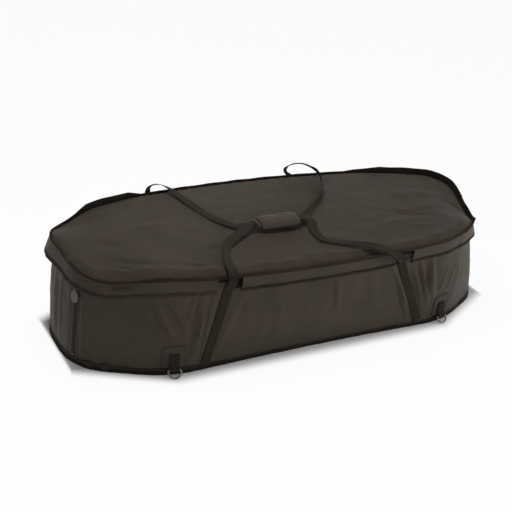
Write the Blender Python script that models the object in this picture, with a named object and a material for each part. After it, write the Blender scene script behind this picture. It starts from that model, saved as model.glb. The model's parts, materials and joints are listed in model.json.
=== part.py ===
# Walled unhooking mat: an eight-sided padded tub with a soft lid, carried by two webbing loops.
# Metres, +Z up, X along the mat, -Y is the front. The origin is under the middle, on the floor.

import bpy
import bmesh
import math
from mathutils import Matrix, Vector

# Plan of the mat
HALF_LENGTH = 0.620
HALF_WIDTH = 0.211
CORNER_LENGTH = 0.205
SIDE_HALF = HALF_LENGTH - CORNER_LENGTH
END_HALF_FLOOR = 0.106
END_HALF_RIM = 0.134
SIDE_BOW_FLOOR = -0.0095
SIDE_BOW_RIM = 0.031
CORNER_CUT = 0.085
QUARTER_STEPS = 20

# Soft front right corner, which leans in towards the rim
SLUMP = 0.060
SLUMP_START = 0.400
SLUMP_FULL = 0.585

# Heights
WALL_HEIGHT = 0.2560
SEAM_OVER_WALL = 0.0125
SKIRT_DROP = 0.0500
RIM_SEAM_HEIGHT = WALL_HEIGHT + SEAM_OVER_WALL
HEM_HEIGHT = RIM_SEAM_HEIGHT - SKIRT_DROP
BASE_STRIP_HEIGHT = 0.0180

# Cloth, foam and webbing
CLOTH = 0.0012
GAP = 0.0003
BASE_SHEET = 0.0015
FLOOR_FOAM = 0.020
WALL_FOAM = 0.022
BOARD_GAP = 0.0024
WALL_LEAN = 0.0105
TAPE_HEIGHT = 0.010
TAPE = 0.0026
RIM_TAPE_DROP = 0.012
FLOOR_CROWN = 0.004

# Lid
LID_EDGE = 0.0095
LID_CROWN = 0.006
APRON_WAVE = 0.0022
APRON_WAVES = 46
APRON_END_FLARE = 0.0085
NOTCH_WIDTH = 0.062
HINGE_STRIP_DROP = 0.020
CLOSURE_WIDTH = 0.018
CLOSURE = 0.0010

# Webbing of the carry loops
WEBBING_WIDTH = 0.025
WEBBING = 0.0016
STRAP_FOOT_HEIGHT = 0.020
FREE_BELOW_HEM = 0.0045
STRAP_FREE_HEIGHT = HEM_HEIGHT - FREE_BELOW_HEM
STRAP_FREE_RISE = 0.018
STRAP_FREE_OUT = 0.003
STRAP_FOOT_FROM_CORNER = 0.093
LEFT_TOP_FROM_CORNER = 0.126
RIGHT_TOP_FROM_CORNER = 0.200
STRAP_FOOT_X = SIDE_HALF - STRAP_FOOT_FROM_CORNER
STRAP_TOP_LEFT_X = LEFT_TOP_FROM_CORNER - SIDE_HALF
STRAP_TOP_RIGHT_X = SIDE_HALF - RIGHT_TOP_FROM_CORNER

# Padded wrap that holds the loops together
WRAP_X = -0.0705
WRAP_Y = -0.0470
WRAP_LENGTH = 0.122
WRAP_HALF_WIDTH = 0.0205
WRAP_HALF_HEIGHT = 0.0140
WRAP_FLAP = 0.0018

# Pegging rings
RING_FROM_CORNER = 0.013
RING_X = SIDE_HALF - RING_FROM_CORNER
RING_WIRE = 0.0024
RING_HALF_WIDTH = 0.0160
RING_DEPTH = 0.0205
RING_BAR_HEIGHT = 0.0180
RING_BAR_OUT = 0.0085
RING_TIP_CLEAR = 0.0004
TAB_WIDTH = WEBBING_WIDTH
TAB_TOP = 0.058
PATCH_WIDTH = 0.062
PATCH_BOTTOM = 0.022
PATCH_TOP = 0.078

# Corner zip
ZIP_ROUND_FROM_END = 0.084
ZIP_BOTTOM = 0.022
ZIP_TOP = HEM_HEIGHT + 0.0035
ZIP_TAPE_WIDTH = 0.022
ZIP_CHAIN_WIDTH = 0.0060
ZIP_CHAIN = 0.0022
ZIP_PITCH = 0.0050
SLIDER_LENGTH = 0.012
SLIDER_WIDTH = 0.0105
SLIDER_WALL = 0.0011
SLIDER_START = HEM_HEIGHT - 0.0100
PULL_LENGTH = 0.032
PULL_WIDTH = 0.0215
PULL_THICK = 0.0036

SEATED = GAP + 0.0006
LEFT_END = 2 * QUARTER_STEPS
FRONT_MIDDLE = 3 * QUARTER_STEPS
BACK_MIDDLE = QUARTER_STEPS
ROUND = 4 * QUARTER_STEPS


def clear_scene():
    for thing in list(bpy.data.objects):
        bpy.data.objects.remove(thing, do_unlink=True)


def make_collection(name):
    group = bpy.data.collections.new(name)
    bpy.context.scene.collection.children.link(group)
    return group


def finish(name, colour, roughness, metallic=0.0):
    material = bpy.data.materials.new(name)
    material.use_nodes = True
    shader = material.node_tree.nodes["Principled BSDF"]
    shader.inputs["Base Color"].default_value = (*colour, 1.0)
    shader.inputs["Roughness"].default_value = roughness
    shader.inputs["Metallic"].default_value = metallic
    return material


clear_scene()
MAT = make_collection("unhooking_mat")
SHELL_CLOTH = ("shell_cloth", (0.050, 0.042, 0.036), 0.62)
BASE_CLOTH = ("base_cloth", (0.020, 0.018, 0.016), 0.55)
LINING_CLOTH = ("lining_cloth", (0.070, 0.072, 0.066), 0.45)
FOAM = ("foam", (0.30, 0.30, 0.29), 0.90)
BINDING = ("binding_tape", (0.020, 0.017, 0.015), 0.75)
STRAP = ("webbing", (0.018, 0.016, 0.014), 0.70)
HOOKS = ("hook_and_loop", (0.010, 0.010, 0.010), 0.95)
RING_METAL = ("ring_metal", (0.060, 0.060, 0.058), 0.35, 0.9)
ZIP_NYLON = ("zip_nylon", (0.012, 0.011, 0.010), 0.45)
PULL_RUBBER = ("pull_rubber", (0.055, 0.047, 0.038), 0.60)


# Plan outline
def bend(start, corner, end, steps):
    points = []
    for step in range(steps + 1):
        t = step / steps
        points.append(start * (1 - t) ** 2 + corner * (2 * t * (1 - t)) + end * t ** 2)
    return points


def quarter(level):
    """Outline from the middle of the right end to the middle of the back, in equal steps."""
    end_half = END_HALF_FLOOR + (END_HALF_RIM - END_HALF_FLOOR) * level
    bow = SIDE_BOW_FLOOR + (SIDE_BOW_RIM - SIDE_BOW_FLOOR) * level
    end_middle = Vector((HALF_LENGTH, 0.0))
    end_corner = Vector((HALF_LENGTH, end_half))
    side_corner = Vector((SIDE_HALF, HALF_WIDTH))
    side_middle = Vector((0.0, HALF_WIDTH))
    slant = (side_corner - end_corner).normalized()
    end_cut = min(CORNER_CUT, 0.9 * end_half)
    path = [end_middle]
    path += bend(end_corner - Vector((0, end_cut)), end_corner, end_corner + slant * CORNER_CUT, 8)
    before_side = side_corner - slant * CORNER_CUT
    after_side = side_corner - Vector((CORNER_CUT, 0))
    path += bend(before_side, side_corner, after_side, 8)
    path += [after_side.lerp(side_middle, step / 12) for step in range(1, 13)]
    for point in path:
        share = max(0.0, 1 - (point.x / SIDE_HALF) ** 2)
        point.y += bow * share
    return even_steps(path, QUARTER_STEPS)


def even_shares(path, steps):
    """Where equal steps along the path fall, as pairs of a point's number and a share to the next."""
    reach = [0.0]
    for a, b in zip(path, path[1:]):
        reach.append(reach[-1] + (b - a).length)
    shares = []
    at = 0
    for step in range(steps + 1):
        want = reach[-1] * step / steps
        while at < len(path) - 2 and reach[at + 1] < want:
            at += 1
        share = (want - reach[at]) / (reach[at + 1] - reach[at])
        shares.append((at, min(1.0, share)))
    return shares


def even_steps(path, steps):
    return [path[at].lerp(path[at + 1], share) for at, share in even_shares(path, steps)]


def whole(level):
    part = quarter(level)
    back_left = [Vector((-p.x, p.y)) for p in reversed(part)]
    front_left = [Vector((-p.x, -p.y)) for p in part]
    front_right = [Vector((p.x, -p.y)) for p in reversed(part)]
    return part[:-1] + back_left[:-1] + front_left[:-1] + front_right[:-1]


def outward(points):
    normals = []
    for index in range(len(points)):
        run = points[(index + 1) % len(points)] - points[index - 1]
        normals.append(Vector((run.y, -run.x)).normalized())
    return normals


def slumped(points):
    """Presses the outline in at the front right corner, most at its furthest point."""
    way = Vector((0.876, -0.482))
    pressed = []
    for point in points:
        share = max(0.0, (point.dot(way) - SLUMP_START) / (SLUMP_FULL - SLUMP_START))
        pressed.append(point - way * SLUMP * min(1.0, share) ** 2)
    return pressed


FLOOR_PLAN = whole(0.0)
RIM_PLAN = slumped(whole(1.0))
FLOOR_NORMALS = outward(FLOOR_PLAN)
RIM_NORMALS = outward(RIM_PLAN)


def rim_line(place, height, out=0.0):
    """Point of the mat's outer form. place counts outline steps from the right end."""
    level = height / RIM_SEAM_HEIGHT
    first = int(math.floor(place)) % ROUND
    second = (first + 1) % ROUND
    share = place - math.floor(place)
    ends = []
    for index in (first, second):
        point = FLOOR_PLAN[index].lerp(RIM_PLAN[index], level)
        normal = FLOOR_NORMALS[index].lerp(RIM_NORMALS[index], level).normalized()
        ends.append(point + normal * out)
    spot = ends[0].lerp(ends[1], share)
    return Vector((spot.x, spot.y, height))


def wall_line(place, height, out=0.0):
    """Point of the wall's cloth, which leans in under the lid."""
    return rim_line(place, height, out - wall_lean(height))


def wall_lean(height):
    return WALL_LEAN * (height - BASE_STRIP_HEIGHT) / (WALL_HEIGHT - BASE_STRIP_HEIGHT)


def wall_frame(place, height, out=0.0):
    """Origin, run along the wall and outward direction at a spot on the wall."""
    step = 0.05
    spot = wall_line(place, height, out)
    run = wall_line(place + step, height) - wall_line(place - step, height)
    run = run.normalized()
    return spot, run, Vector((run.y, -run.x, 0.0))


def place_at_x(x, front, height=0.1):
    """Outline place of a point on the front or the back wall with this x."""
    low, high = (LEFT_END, ROUND) if front else (0, LEFT_END)
    for _ in range(40):
        middle = (low + high) / 2
        right_of = rim_line(middle, height).x > x
        if right_of == front:
            high = middle
        else:
            low = middle
    return (low + high) / 2


def steps_for(length, place, height):
    """Outline steps that a length along the wall takes."""
    stride = (rim_line(place + 0.5, height) - rim_line(place - 0.5, height)).length
    return length / stride


# Solids
LOOKS = {}


def remember(look):
    """One material for each look, made when it is first asked for."""
    if look[0] not in LOOKS:
        LOOKS[look[0]] = finish(*look)
    return LOOKS[look[0]]


def add(name, mesh, look, pivot=(0, 0, 0)):
    thing = bpy.data.objects.new(name, mesh)
    mesh.transform(Matrix.Translation(-Vector(pivot)))
    thing.location = pivot
    mesh.materials.append(remember(look))
    mesh.shade_smooth()
    mesh.set_sharp_from_angle(angle=math.radians(40))
    MAT.objects.link(thing)
    return thing


def mesh_from(shape, name):
    bmesh.ops.recalc_face_normals(shape, faces=shape.faces)
    mesh = bpy.data.meshes.new(name)
    shape.to_mesh(mesh)
    shape.free()
    return mesh


def loft(name, sections, look, closed=False, pivot=(0, 0, 0)):
    """Skin over unlike sections of equal point counts. closed joins the last to the first.

    Each facet is cut from its lower near corner to its upper far one, so nested sheets stay even.
    """
    shape = bmesh.new()
    loops = [[shape.verts.new(point) for point in section] for section in sections]
    pairs = list(zip(loops, loops[1:]))
    if closed:
        pairs.append((loops[-1], loops[0]))
    for near, far in pairs:
        for index in range(len(near)):
            after = (index + 1) % len(near)
            low, high = (index, after) if near[index].co.z <= near[after].co.z else (after, index)
            shape.faces.new((near[low], near[high], far[high]))
            shape.faces.new((near[low], far[high], far[low]))
    if not closed:
        shape.faces.new(loops[0])
        shape.faces.new(loops[-1])
    return add(name, mesh_from(shape, name), look, pivot)


def ring(name, section, look, line=wall_line, pivot=(0, 0, 0)):
    """Band all the way round. section lists (out, height) of its corners."""
    sections = []
    for place in range(ROUND):
        sections.append([line(place, height, out) for out, height in section])
    return loft(name, sections, look, closed=True, pivot=pivot)


def plate(name, loops, look, line=wall_line, pivot=(0, 0, 0)):
    """Sheet that fills the plan. loops lists (out, height) from its underside to its top."""
    sections = [[line(place, height, out) for place in range(ROUND)] for out, height in loops]
    return loft(name, sections, look, pivot=pivot)


def crowned_loop(loop_height, edge_out, share, rise):
    """Loop of the lid or floor drawn in towards the middle line of the plan, and raised."""
    points = []
    for place in range(ROUND):
        edge = rim_line(place, loop_height, edge_out)
        spine = Vector((edge.x * (SIDE_HALF / HALF_LENGTH), 0.0, loop_height))
        point = spine.lerp(edge, share)
        point.z = loop_height + rise * (1 - share ** 2.4)
        points.append(point)
    return points


def curve_through(points):
    """Catmull-Rom curve through the points."""
    points = [Vector(point) for point in points]
    first = points[0] * 2 - points[1]
    last = points[-1] * 2 - points[-2]
    chain = [first] + points + [last]
    fine = []
    for a, b, c, d in zip(chain, chain[1:], chain[2:], chain[3:]):
        for step in range(12):
            t = step / 12
            bulk = b * 2 + (c - a) * t + (a * 2 - b * 5 + c * 4 - d) * t ** 2
            fine.append((bulk + (b * 3 - a - c * 3 + d) * t ** 3) * 0.5)
    fine.append(points[-1])
    return fine


# Base and floor
def make_base():
    outer = 0.0
    inner = -CLOTH + GAP
    plate("base_sheet", [
        (outer, 0.0),
        (outer, BASE_STRIP_HEIGHT),
        (inner, BASE_STRIP_HEIGHT),
        (inner, BASE_SHEET),
    ], BASE_CLOTH, line=rim_line)
    ring("base_binding", [
        (GAP, 0.0010),
        (GAP, 0.0010 + TAPE_HEIGHT),
        (GAP + CLOTH, 0.0010 + TAPE_HEIGHT),
        (GAP + CLOTH, 0.0010),
    ], BINDING, line=rim_line)


def skin_out(height):
    """How far the outer skin stands from the outer form. It tucks in behind the base strip."""
    if height <= BASE_STRIP_HEIGHT + GAP:
        return -CLOTH - GAP
    return -wall_lean(height)


def board_out(height):
    return skin_out(height) - CLOTH - GAP


def inner_face(height):
    """The boards' inner face, straight from their foot to their top."""
    foot = board_out(BASE_SHEET)
    top = board_out(WALL_HEIGHT)
    return foot + (top - foot) * height / WALL_HEIGHT - WALL_FOAM


FLOOR_TOP = BASE_SHEET + GAP + FLOOR_FOAM
FLOOR_EDGE = inner_face(FLOOR_TOP + 0.005) - 2 * GAP
SHOULDER = BASE_STRIP_HEIGHT + 0.006
WALL_ROWS = (SHOULDER, SHOULDER + 0.075, SHOULDER + 0.155, WALL_HEIGHT)


def make_floor():
    bottom = BASE_SHEET + GAP
    pad = [
        [rim_line(place, bottom, FLOOR_EDGE) for place in range(ROUND)],
        [rim_line(place, FLOOR_TOP, FLOOR_EDGE) for place in range(ROUND)],
        crowned_loop(FLOOR_TOP, FLOOR_EDGE, 0.86, FLOOR_CROWN),
        crowned_loop(FLOOR_TOP, FLOOR_EDGE, 0.45, FLOOR_CROWN),
    ]
    loft("floor_foam", pad, FOAM)
    sheet_low = FLOOR_TOP + GAP
    sheet_high = sheet_low + CLOTH
    sheet = [
        crowned_loop(sheet_low, FLOOR_EDGE, 0.45, FLOOR_CROWN),
        crowned_loop(sheet_low, FLOOR_EDGE, 0.86, FLOOR_CROWN),
        [rim_line(place, sheet_low, FLOOR_EDGE) for place in range(ROUND)],
        [rim_line(place, sheet_high, FLOOR_EDGE) for place in range(ROUND)],
        crowned_loop(sheet_high, FLOOR_EDGE, 0.86, FLOOR_CROWN),
        crowned_loop(sheet_high, FLOOR_EDGE, 0.45, FLOOR_CROWN),
    ]
    loft("floor_lining", sheet, LINING_CLOTH)
    return sheet_high


# Walls
def make_walls(floor_surface):
    bottom = BASE_SHEET + GAP
    tuck = BASE_STRIP_HEIGHT + GAP
    rows = (bottom, tuck) + WALL_ROWS
    face = [(skin_out(height), height) for height in rows]
    back = [(skin_out(height) - CLOTH, height) for height in reversed(rows)]
    ring("outer_skin", face + back, SHELL_CLOTH, line=rim_line)
    low = floor_surface + GAP
    lining_out = inner_face(WALL_HEIGHT) - 3 * GAP
    lining_low = inner_face(low) - 3 * GAP
    ring("inner_lining", [
        (lining_low, low),
        (lining_out, WALL_HEIGHT),
        (lining_out - CLOTH, WALL_HEIGHT),
        (lining_low - CLOTH, low),
    ], LINING_CLOTH, line=rim_line)
    make_boards()
    make_rim_binding(lining_out)


BOARD_NAMES = ("right", "back_right", "back", "back_left", "left", "front_left", "front", "front_right")
END_BOARD_STEPS = 3
CORNER_BOARD_STEPS = 7


def board_ends():
    """Outline places where one foam board meets the next: the middle of each corner."""
    first = END_BOARD_STEPS
    second = END_BOARD_STEPS + CORNER_BOARD_STEPS
    half = LEFT_END
    return [
        (ROUND - first, ROUND + first),
        (first, second),
        (second, half - second),
        (half - second, half - first),
        (half - first, half + first),
        (half + first, half + second),
        (half + second, ROUND - second),
        (ROUND - second, ROUND - first),
    ]


def make_boards():
    bottom = BASE_SHEET + GAP
    rows = (bottom, BASE_STRIP_HEIGHT + GAP) + WALL_ROWS
    for name, (start, end) in zip(BOARD_NAMES, board_ends()):
        trim = steps_for(BOARD_GAP / 2, start, WALL_HEIGHT)
        places = [start + trim] + list(range(start + 1, end)) + [end - trim]
        sections = []
        for place in places:
            section = [rim_line(place, height, board_out(height)) for height in rows]
            section.append(rim_line(place, WALL_HEIGHT, inner_face(WALL_HEIGHT)))
            section.append(rim_line(place, bottom, inner_face(bottom)))
            sections.append(section)
        loft("wall_foam_" + name, sections, FOAM)


def make_rim_binding(lining_out):
    top = WALL_HEIGHT + GAP
    drop = top - RIM_TAPE_DROP
    outer = skin_out(WALL_HEIGHT) + 2 * GAP
    inner = lining_out - CLOTH - GAP
    low_outer = skin_out(drop) + 2 * GAP
    ring("rim_binding", [
        (low_outer, drop),
        (low_outer + CLOTH, drop),
        (outer + CLOTH, top + CLOTH),
        (inner - CLOTH, top + CLOTH),
        (inner - CLOTH, drop),
        (inner, drop),
        (inner, top),
        (outer, top),
    ], BINDING, line=rim_line)


RIM_TOP = WALL_HEIGHT + GAP + CLOTH
LID_UNDERSIDE = RIM_TOP + GAP
BINDING_TOP = RIM_SEAM_HEIGHT
HEM_OUT = GAP + 0.0007


def lid_pivot():
    hem = rim_line(BACK_MIDDLE, HEM_HEIGHT)
    return Vector((0.0, hem.y + APRON_WAVE + 0.0040, HEM_HEIGHT - 0.0010))


LID_TOP = LID_UNDERSIDE + LID_EDGE + LID_CROWN
WRAP_CENTRE = (WRAP_X, WRAP_Y, LID_TOP + WRAP_HALF_HEIGHT + 0.0010)


# Lid
def make_lid():
    pivot = lid_pivot()
    edge = -TAPE - GAP
    top = LID_UNDERSIDE + LID_EDGE
    under = [crowned_loop(LID_UNDERSIDE, edge, share, LID_CROWN) for share in (0.15, 0.5, 0.8)]
    for loop in under:
        for point in loop:
            point.z = max(point.z, LID_UNDERSIDE)
    rise = [crowned_loop(top, edge, share, LID_CROWN) for share in (0.93, 0.8, 0.5, 0.15)]
    panel = under
    panel += [[rim_line(place, LID_UNDERSIDE, edge - 0.030) for place in range(ROUND)]]
    panel[-1] = [Vector((p.x, p.y, LID_UNDERSIDE)) for p in panel[-1]]
    panel += [[rim_line(place, LID_UNDERSIDE, edge) for place in range(ROUND)]]
    panel += [[rim_line(place, top, edge) for place in range(ROUND)]]
    panel += rise
    loft("lid_panel", panel, SHELL_CLOTH, pivot=pivot)
    ring("lid_binding", [
        (-TAPE, LID_UNDERSIDE),
        (0.0, LID_UNDERSIDE),
        (0.0, BINDING_TOP),
        (-TAPE, BINDING_TOP),
    ], BINDING, line=rim_line, pivot=pivot)
    for name, start, end in apron_ends():
        make_apron(name, start, end, pivot)
    make_closure(pivot)


def apron_ends():
    """The skirt has four panels, with a notch for each strap between them."""
    height = HEM_HEIGHT
    notches = {}
    for side, front in (("front", True), ("back", False)):
        for hand, x in (("left", STRAP_TOP_LEFT_X), ("right", STRAP_TOP_RIGHT_X)):
            place = place_at_x(x, front, height)
            half = steps_for(NOTCH_WIDTH / 2, place, height)
            notches[side, hand] = (place - half, place + half)
    return [
        ("front", notches["front", "left"][1], notches["front", "right"][0]),
        ("right", notches["front", "right"][1], notches["back", "right"][0] + ROUND),
        ("back", notches["back", "right"][1], notches["back", "left"][0]),
        ("left", notches["back", "left"][1], notches["front", "left"][0]),
    ]


def apron_out(place, height):
    """The skirt stands a little wavy, and flares where it goes round the ends."""
    drop = (LID_UNDERSIDE - height) / (LID_UNDERSIDE - HEM_HEIGHT)
    wave = APRON_WAVE * math.sin(2 * math.pi * APRON_WAVES * place / ROUND / 2)
    spot = rim_line(place, height)
    flare = APRON_END_FLARE * max(0.0, (abs(spot.x) - SIDE_HALF) / (HALF_LENGTH - SIDE_HALF))
    return (wave + flare) * drop


def panel_places(start, end):
    count = int(math.ceil(end - start))
    return [start + (end - start) * step / count for step in range(count + 1)]


def make_apron(name, start, end, pivot):
    places = panel_places(start, end)
    top = LID_UNDERSIDE - GAP
    hem_top = HEM_HEIGHT + TAPE_HEIGHT
    cloth = []
    tape = []
    for place in places:
        upper = [apron_out(place, top), apron_out(place, (top + hem_top) / 2)]
        lower = apron_out(place, hem_top)
        middle = (top + hem_top) / 2
        heel = hem_top + GAP
        cloth.append([
            rim_line(place, top, upper[0] - CLOTH),
            rim_line(place, top, upper[0]),
            rim_line(place, middle, upper[1]),
            rim_line(place, heel, lower),
            rim_line(place, heel, lower - CLOTH),
            rim_line(place, middle, upper[1] - CLOTH),
        ])
        foot = apron_out(place, HEM_HEIGHT)
        tape.append([
            rim_line(place, hem_top, lower - CLOTH - HEM_OUT / 2),
            rim_line(place, hem_top, lower + HEM_OUT / 2),
            rim_line(place, HEM_HEIGHT, foot + HEM_OUT / 2),
            rim_line(place, HEM_HEIGHT, foot - CLOTH - HEM_OUT / 2),
        ])
    loft("apron_" + name, cloth, SHELL_CLOTH, pivot=pivot)
    loft("hem_binding_" + name, tape, BINDING, pivot=pivot)


def make_closure(pivot):
    """Hook strip inside the front skirt and loop strip on the wall behind it."""
    hook_low = HEM_HEIGHT + TAPE_HEIGHT + 0.001
    hook_high = hook_low + CLOSURE_WIDTH
    loop_high = WALL_HEIGHT - RIM_TAPE_DROP - 0.001
    name, start, end = apron_ends()[0]
    hooks = []
    loops = []
    for place in panel_places(start, end)[1:-1]:
        low_out = apron_out(place, hook_low) - CLOTH - 2 * GAP
        high_out = apron_out(place, hook_high) - CLOTH - 2 * GAP
        hooks.append([
            rim_line(place, hook_low, low_out),
            rim_line(place, hook_high, high_out),
            rim_line(place, hook_high, high_out - CLOSURE),
            rim_line(place, hook_low, low_out - CLOSURE),
        ])
        low = loop_high - CLOSURE_WIDTH
        loops.append([
            wall_line(place, low, GAP),
            wall_line(place, loop_high, GAP),
            wall_line(place, loop_high, GAP + CLOSURE),
            wall_line(place, low, GAP + CLOSURE),
        ])
    loft("hook_strip", hooks, HOOKS, pivot=pivot)
    loft("loop_strip", loops, HOOKS)


def make_hinge_strip():
    """Cloth strip sewn to the back wall that carries the hem of the back skirt."""
    pivot = lid_pivot()
    top = pivot.z
    name, start, end = apron_ends()[2]
    sections = []
    for place in panel_places(start, end):
        hem = rim_line(place, HEM_HEIGHT, apron_out(place, HEM_HEIGHT) - CLOTH / 2)
        wall = wall_line(place, top, SEATED)
        reach = (Vector((hem.x, hem.y)) - Vector((wall.x, wall.y))).length
        sections.append([
            wall_line(place, top - HINGE_STRIP_DROP, SEATED),
            wall_line(place, top - HINGE_STRIP_DROP, SEATED + CLOTH),
            wall_line(place, top - CLOTH, SEATED + CLOTH),
            wall_line(place, top - CLOTH, SEATED + reach),
            wall_line(place, top, SEATED + reach),
            wall_line(place, top, SEATED),
        ])
    loft("lid_hinge_strip", sections, BINDING)


# Webbing
def make_strap_runs():
    for side, front in (("front", True), ("back", False)):
        for hand, foot, top in (("left", -STRAP_FOOT_X, STRAP_TOP_LEFT_X),
                                ("right", STRAP_FOOT_X, STRAP_TOP_RIGHT_X)):
            make_strap_run("strap_run_" + side + "_" + hand, foot, top, front)


def make_strap_run(name, foot, top, front):
    steps = 7
    columns = 4
    end_height = STRAP_FREE_HEIGHT - 0.0010
    slant = math.hypot(1.0, (top - foot) / (end_height - STRAP_FOOT_HEIGHT))
    half = WEBBING_WIDTH / 2 * slant
    sections = []
    for step in range(steps + 1):
        share = step / steps
        height = STRAP_FOOT_HEIGHT + (end_height - STRAP_FOOT_HEIGHT) * share
        x = foot + (top - foot) * share
        place = place_at_x(x, front, height)
        reach = steps_for(half, place, height)
        spread = [place + reach * (2 * column / columns - 1) for column in range(columns + 1)]
        section = [wall_line(at, height, SEATED) for at in spread]
        section += [wall_line(at, height, SEATED + WEBBING) for at in reversed(spread)]
        sections.append(section)
    loft(name, sections, STRAP)


def strap_pivot(front):
    place = place_at_x(STRAP_TOP_RIGHT_X, front, STRAP_FREE_HEIGHT)
    spot = wall_line(place, STRAP_FREE_HEIGHT, SEATED + WEBBING / 2)
    return Vector((0.0, spot.y, STRAP_FREE_HEIGHT))


def ribbon(name, path, widths, steps, end_way, pivot):
    """Flat webbing from the wall along a curve to the wrap. widths gives the way across it."""
    fine = curve_through(path)
    turning = curve_through(widths)
    shares = even_shares(fine, steps)
    spine = [fine[at].lerp(fine[at + 1], share) for at, share in shares]
    across = [turning[at].lerp(turning[at + 1], share) for at, share in shares]
    sections = []
    ways = [spine[index + 1] - spine[index - 1] for index in range(1, steps)]
    ways = [spine_start_way(path)] + ways + [Vector((end_way, 0, 0))]
    for index, (spot, ahead) in enumerate(zip(spine, ways)):
        side = across[index].normalized()
        face = ahead.cross(side).normalized()
        side = face.cross(ahead).normalized()
        half = side * (WEBBING_WIDTH / 2)
        thick = face * (WEBBING / 2)
        sections.append([spot - half - thick, spot + half - thick, spot + half + thick, spot - half + thick])
    loft(name, sections, STRAP, pivot=pivot)


def spine_start_way(path):
    return Vector((0, path[1][1] - path[0][1], path[1][2] - path[0][2]))


WRAP_LEFT_X = WRAP_CENTRE[0] - WRAP_LENGTH / 2
WRAP_RIGHT_X = WRAP_CENTRE[0] + WRAP_LENGTH / 2
STACK = WEBBING / 2 + 0.0004


def make_half_loop(name, front, hand, route, steps, pivot):
    """Half of a carry loop, from the wall over the lid into the wrap.

    Each stop of the route has shares of the way to the wrap along x and along y, a lift over
    the lid in webbing widths, and the way across the webbing there.
    """
    left = hand == "left"
    top_x = STRAP_TOP_LEFT_X if left else STRAP_TOP_RIGHT_X
    end_x = WRAP_LEFT_X - 2 * GAP if left else WRAP_RIGHT_X + 2 * GAP
    edge_y = HALF_WIDTH + SIDE_BOW_RIM
    start = Vector((top_x, -edge_y if front else edge_y, 0))
    end_z = WRAP_CENTRE[2] + (STACK if front else -STACK)
    low, rise, run = wall_start(top_x, front)
    path = [low, rise]
    across = [run, run]
    for along, inward, lift, way in route:
        x = start.x + (end_x - start.x) * along
        y = start.y + (WRAP_Y - start.y) * inward
        path.append((x, y, LID_TOP + lift * WEBBING_WIDTH))
        across.append(way)
    path.append((end_x, WRAP_Y, end_z))
    across.append(across[-1])
    ribbon(name, path, across, steps, 1 if left else -1, pivot)


def wall_start(x, front):
    place = place_at_x(x, front, STRAP_FREE_HEIGHT)
    low = wall_line(place, STRAP_FREE_HEIGHT, SEATED + WEBBING / 2)
    rise = wall_line(place, STRAP_FREE_HEIGHT + STRAP_FREE_RISE, SEATED + WEBBING / 2 + STRAP_FREE_OUT)
    _, run, _ = wall_frame(place, STRAP_FREE_HEIGHT)
    return low, rise, run


WRAP_MIDDLE_LIFT = (WRAP_CENTRE[2] - LID_TOP) / WEBBING_WIDTH
UPPER_LIFT = WRAP_MIDDLE_LIFT + STACK / WEBBING_WIDTH
LOWER_LIFT = WRAP_MIDDLE_LIFT - STACK / WEBBING_WIDTH


def make_front_strap():
    pivot = strap_pivot(True)
    make_half_loop("front_strap_left", True, "left", [
        (-0.003, 0.026, -0.80, (1, 0, 0)),
        (0.006, 0.062, 0.08, (1, 0, 0)),
        (0.025, 0.200, 0.32, (1, 0, 0)),
        (0.063, 0.379, 0.24, (1, -0.4, 0)),
        (0.241, 0.672, 0.24, (0.7, -0.7, 0.1)),
        (0.584, 0.851, 0.44, (0.4, -1, 0.2)),
        (0.924, 1.0, UPPER_LIFT, (0, -1, 0)),
    ], 28, pivot)
    make_half_loop("front_strap_right", True, "right", [
        (0.085, -0.041, -1.36, (0.9, 0.1, 0.4)),
        (0.227, -0.062, -0.32, (0.7, 0.5, 0.4)),
        (0.387, -0.005, 0.44, (0.5, 0.8, 0.2)),
        (0.534, 0.138, 0.48, (0.5, 0.8, 0.1)),
        (0.717, 0.318, 0.24, (0.5, 0.8, 0)),
        (0.900, 0.492, 0.16, (0.9, 0.4, 0)),
        (0.913, 0.713, 0.24, (1, 0, 0)),
        (0.878, 0.877, 0.68, (1, -0.1, 0)),
        (0.902, 0.964, 0.76, (0.8, 0.6, 0)),
        (0.964, 1.0, UPPER_LIFT + 0.04, (0, 1, 0)),
    ], 36, pivot)
    make_grip("front_strap_handle", WRAP_CENTRE[2] + STACK, pivot)


def make_back_strap():
    pivot = lid_pivot()
    make_half_loop("back_strap_left", False, "left", [
        (-0.025, -0.010, -1.00, (-1, 0, 0)),
        (-0.019, -0.017, -0.04, (-1, 0.1, 0.1)),
        (0.095, 0.021, 0.44, (-0.9, -0.1, 0.2)),
        (0.222, 0.104, 0.40, (-1, -0.4, 0.1)),
        (0.298, 0.215, 0.20, (-1, -0.3, 0)),
        (0.381, 0.446, 0.16, (-1, -0.2, 0)),
        (0.495, 0.716, 0.16, (-1, -0.4, 0)),
        (0.686, 0.924, 0.32, (-0.8, -0.7, 0)),
        (0.924, 1.0, LOWER_LIFT, (-0.1, -1, 0)),
    ], 30, pivot)
    make_half_loop("back_strap_right", False, "right", [
        (0.111, -0.024, -1.36, (-0.9, 0.2, -0.2)),
        (0.263, -0.048, -0.72, (-0.6, 0.7, 0)),
        (0.352, -0.042, 0.12, (-0.2, 1, 0.1)),
        (0.312, -0.010, 0.96, (0.1, 1, 0.1)),
        (0.183, 0.031, 1.20, (0.5, 0.9, 0)),
        (0.062, 0.100, 0.80, (0.9, 0.4, 0)),
        (0.067, 0.232, 0.36, (0.9, -0.4, 0)),
        (0.192, 0.422, 0.20, (0.8, -0.6, 0)),
        (0.414, 0.657, 0.16, (0.7, -0.7, 0)),
        (0.682, 0.844, 0.16, (0.6, -0.8, 0)),
        (0.911, 0.979, LOWER_LIFT - 0.16, (0.1, -1, 0)),
    ], 38, pivot)
    make_grip("back_strap_handle", WRAP_CENTRE[2] - STACK, pivot)


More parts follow.
